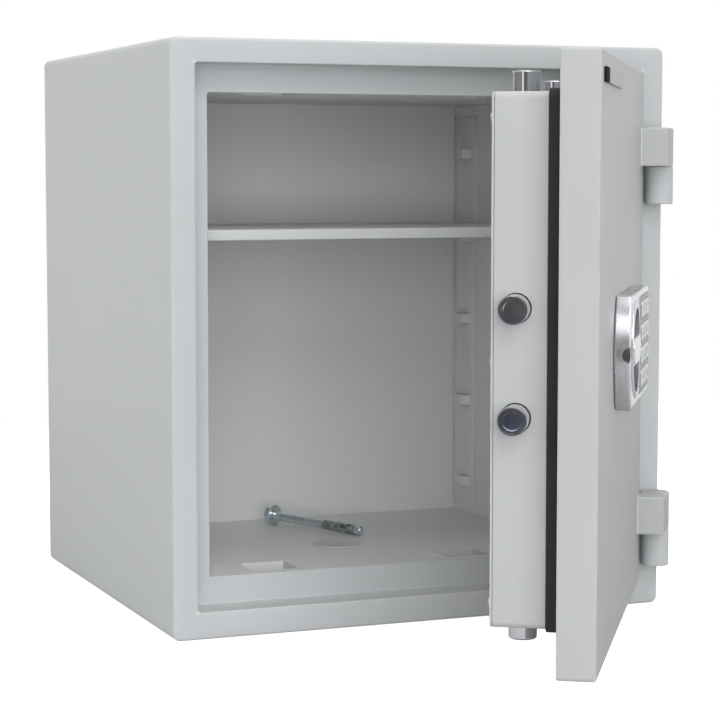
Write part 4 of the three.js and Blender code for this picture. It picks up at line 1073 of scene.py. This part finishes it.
bolt_chrome = chromed("hard_chrome", (0.66, 0.67, 0.69, 1), 0.1)
# A dark copy of the chrome: painted dark reflection and shade for the bolts' chamfers and the lock's thumb
# notch
painted_dark_chrome = chromed("painted_dark_chrome", (0.20, 0.20, 0.21, 1), 0.3)
for names, body, axis in (
    (side_bolts, "side_bolts", Vector((-1, 0, 0))),
    (end_bolts[:2], "top_bolts", Vector((0, 0, 1))),
    (end_bolts[2:], "bottom_bolts", Vector((0, 0, -1))),
):
    for node in names:
        lowest, highest = closed_box(node)
        length = abs((highest - lowest).dot(axis))
        bolt_place = along_axis((lowest + highest) / 2 - axis * length / 2, axis)
        profile = [
            (near_axis, 0),
            (bolt_radius - 0.0005, 0),
            (bolt_radius, 0.0005),
            (bolt_radius, 0.0012),
            (bolt_radius, length - bolt_chamfer - 0.0010),
            (bolt_radius, length - bolt_chamfer - 0.0002),
            (bolt_radius - 0.0001, length - bolt_chamfer + 0.0001),
        ]
        for share in (1, 0.92, 0.84, 0.77, 0.745, 0.72, 0.6, 0.45, 0.3, 0.15, 0.01):
            fall = bolt_crown * share ** 2 + (bolt_groove if share == 0.745 else 0)
            profile.append((share * (bolt_radius - bolt_chamfer), length - fall))
        piece = mesh_piece(node + "_finish", turned_form(profile, bolt_steps), to_rest @ bolt_place, 25)
        finished(piece, body, "bolt_chrome", bolt_chrome, node)
        # The chamfer ring takes the dark chrome: a painted dark reflection
        piece.data.materials.append(painted_dark_chrome)
        to_bolt = (to_rest @ bolt_place).inverted()
        for face in piece.data.polygons:
            middle = to_bolt @ face.center
            from_axis = math.hypot(middle.x, middle.y)
            if middle.z > length - bolt_chamfer and from_axis > bolt_radius - bolt_chamfer:
                face.material_index = 1

# Bolt work
# Laser-cut and folded steel bars and a drive disc, zinc plated, hidden behind the cover with the lock case.
for node in ("drive_disc", "side_bolt_bar", "top_bolt_bar", "bottom_bolt_bar", "spindle"):
    dress(node, zinc)
dress("lock_case", metal("lock_case_plastic", (0.03, 0.03, 0.032, 1), 0.5, metallic=0.0))

# Lock housing
# A die-cast housing with a bowed free end, satin chrome plated, screwed to the door from inside.
# A round well takes the knob, and a recess beside it takes the keypad.
bow_depth = 0.024
housing_corner = 0.006
housing_edge = 0.002
well_depth = 0.010
knob_clearance = 0.0006
notch_radius = 0.0075
notch_depth = 0.009
notch_length = 0.014
cut_ahead = 0.01
cut_edge = 0.0004
pad_corner = 0.004


def door_form(points, y0, y1):
    """A closed form with an outline in X and Z, from y0 back to y1."""
    form = bmesh.new()
    skinned(form, [[form.verts.new((x, y, z)) for x, z in points] for y in (y0, y1)])
    return form


housing_low, housing_high = closed_box("lock_housing")
knob_low, knob_high = closed_box("knob")
pad_low, pad_high = closed_box("keypad")
housing_face = housing_low.y
spindle_axis = ((knob_low.x + knob_high.x) / 2, (knob_low.z + knob_high.z) / 2)
knob_radius = (knob_high.x - knob_low.x) / 2
half_tall = (housing_high.z - housing_low.z) / 2
bow_radius = (half_tall ** 2 + bow_depth ** 2) / (2 * bow_depth)
bow_angle = math.degrees(math.asin(half_tall / bow_radius))
bow_centre = (housing_low.x + bow_radius, spindle_axis[1])
corner_x = housing_high.x - housing_corner
housing_outline = arc(bow_centre, bow_radius, 180 - bow_angle, 180 + bow_angle, 48)
housing_outline += arc((corner_x, housing_low.z + housing_corner), housing_corner, -90, 0, 8)
housing_outline += arc((corner_x, housing_high.z - housing_corner), housing_corner, 0, 90, 8)
housing = mesh_piece("lock_housing_finish", door_form(housing_outline, housing_face, housing_high.y))
round_edges(housing, housing_edge, 4, 60)
well = arc(spindle_axis, knob_radius + knob_clearance, 0, 360, 96)[:-1]
carve(housing, door_form(well, housing_face - cut_ahead, housing_face + well_depth))
pad_area = (pad_low.x, pad_high.x, pad_low.z, pad_high.z)
recess_levels = (housing_face - cut_ahead, pad_high.y + seam)
carve(housing, rows_form([(grown(pad_area, seam), pad_corner, y) for y in recess_levels]))
notch_rows = [(near_axis, 0), (notch_radius, 0), (notch_radius, notch_length), (near_axis, notch_length)]
notch = turned_form(notch_rows)
notch_start = (housing_low.x + notch_depth - notch_length, housing_face, spindle_axis[1])
notch.transform(along_axis(notch_start, (1, 0, 0)))
carve(housing, notch)
round_edges(housing, cut_edge, 2, 50)
notch_faces = []
for face in housing.data.polygons:
    from_axis = math.hypot(face.center.y - housing_face, face.center.z - spindle_axis[1])
    in_notch = from_axis < notch_radius and face.center.x < housing_low.x + 2 * notch_depth
    if in_notch and face.center.y > housing_face + 0.0003:
        notch_faces.append(face.index)
housing.data.transform(to_rest)
lock_chrome = chromed("satin_chrome", (0.60, 0.61, 0.63, 1), 0.24)
finished(housing, "door", "lock_chrome", lock_chrome, "lock_housing")
# The thumb notch takes the dark chrome: painted shade
housing.data.materials.append(painted_dark_chrome)
for index in notch_faces:
    housing.data.polygons[index].material_index = 1

# Knob
# A turned dish with a grip bar cast across it and a finger recess on each side, satin chrome plated.
knob_rim = 0.006
knob_edge = 0.0015
grip_half = 0.0135
grip_rise = 0.001
grip_edge = 0.001
grip_recess = 0.008
knob_cast_edge = 0.0006

knob_face = knob_low.y + grip_rise
knob_back = knob_high.y
knob_depth = knob_back - knob_face
inner_radius = knob_radius - knob_rim
profile = [
    (near_axis, 0),
    (knob_radius - 0.0005, 0),
    (knob_radius, 0.0005),
    (knob_radius, knob_depth - knob_edge),
    (knob_radius - 0.3 * knob_edge, knob_depth - 0.3 * knob_edge),
    (knob_radius - knob_edge, knob_depth),
    (near_axis, knob_depth),
]
form = turned_form(profile, 96)
form.transform(along_axis((spindle_axis[0], knob_back, spindle_axis[1]), (0, -1, 0)))
knob = mesh_piece("knob_finish", form)
chord = math.degrees(math.asin(grip_half / inner_radius))
for turn in (0, 180):
    recess = arc(spindle_axis, inner_radius, turn + chord, turn + 180 - chord, 40)
    carve(knob, door_form(recess, knob_face - cut_ahead, knob_face + grip_recess))
grip_area = (
    spindle_axis[0] - inner_radius, spindle_axis[0] + inner_radius,
    spindle_axis[1] - grip_half, spindle_axis[1] + grip_half,
)
rows = edge_rows(grip_area, grip_half - 0.001, knob_low.y, grip_edge, 1)
rows.append((grip_area, grip_half - 0.001, knob_back - 0.001))
carve(knob, rows_form(rows), "UNION")
round_edges(knob, knob_cast_edge, 2, 50)
knob.data.transform(to_rest)
finished(knob, "knob_set", "lock_chrome", lock_chrome, "knob")

# Keypad and keys
# A moulded dark block with twelve metal keys that press in, with plain printed digits and signs.
key_signs = ("1", "2", "3", "4", "5", "6", "7", "8", "9", "*", "0", "#")
sign_size = 0.0128
print_thickness = 0.00008
pad_edge = 0.0004
key_edge = 0.0007

pad_plastic, tree, shader, where = blank_material("keypad_plastic")
grain = place_group(tree, grain_group, Grain=0.0005)
tree.links.new(where, grain.inputs["Position"])
moulded = colour_mix(tree, grain.outputs["Tone"], (0.27, 0.275, 0.27, 1), (0.34, 0.345, 0.34, 1))
tree.links.new(moulded, shader.inputs["Base Color"])
link_bump(tree, shader, grain.outputs["Height"], 0.00003)
preset(shader, Roughness=0.42)
finished(softened("keypad", pad_edge), "door", "dark_plastic", pad_plastic, "keypad")

key_metal = metal(
    "key_metal", (0.50, 0.51, 0.52, 1), 0.24, mottle=0.08, speck_scale=1400, cloud_scale=260
)
ink = metal(
    "key_print", (0.022, 0.022, 0.023, 1), 0.5, mottle=0.4, speck_scale=2200, depth=0.000001, metallic=0.0
)
for index, sign in enumerate(key_signs):
    row, column = index // 3 + 1, index % 3 + 1
    node = f"key_row{row}_column{column}"
    body = f"key_{row}_{column}"
    lowest, highest = closed_box(node)
    finished(softened(node, key_edge, 3), body, "key_metal", key_metal, node)
    letter = bpy.data.curves.new("key_sign", "FONT")
    letter.body = sign
    letter.size = sign_size
    letter.align_x = "CENTER"
    letter.align_y = "CENTER"
    letter.extrude = print_thickness
    writing = bpy.data.objects.new("key_sign", letter)
    put_in_scene(writing)
    bpy.context.view_layer.update()
    mesh = bpy.data.meshes.new_from_object(writing.evaluated_get(bpy.context.evaluated_depsgraph_get()))
    bpy.data.objects.remove(writing)
    middle = Vector(((lowest.x + highest.x) / 2, lowest.y, (lowest.z + highest.z) / 2))
    mesh.transform(to_rest @ Matrix.Translation(middle) @ Matrix.Rotation(math.pi / 2, 4, "X"))
    sign_piece = bpy.data.objects.new(f"sign_row{row}_column{column}", mesh)
    put_in_scene(sign_piece)
    finished(sign_piece, body, "dark_plastic", ink)

bpy.context.view_layer.update()
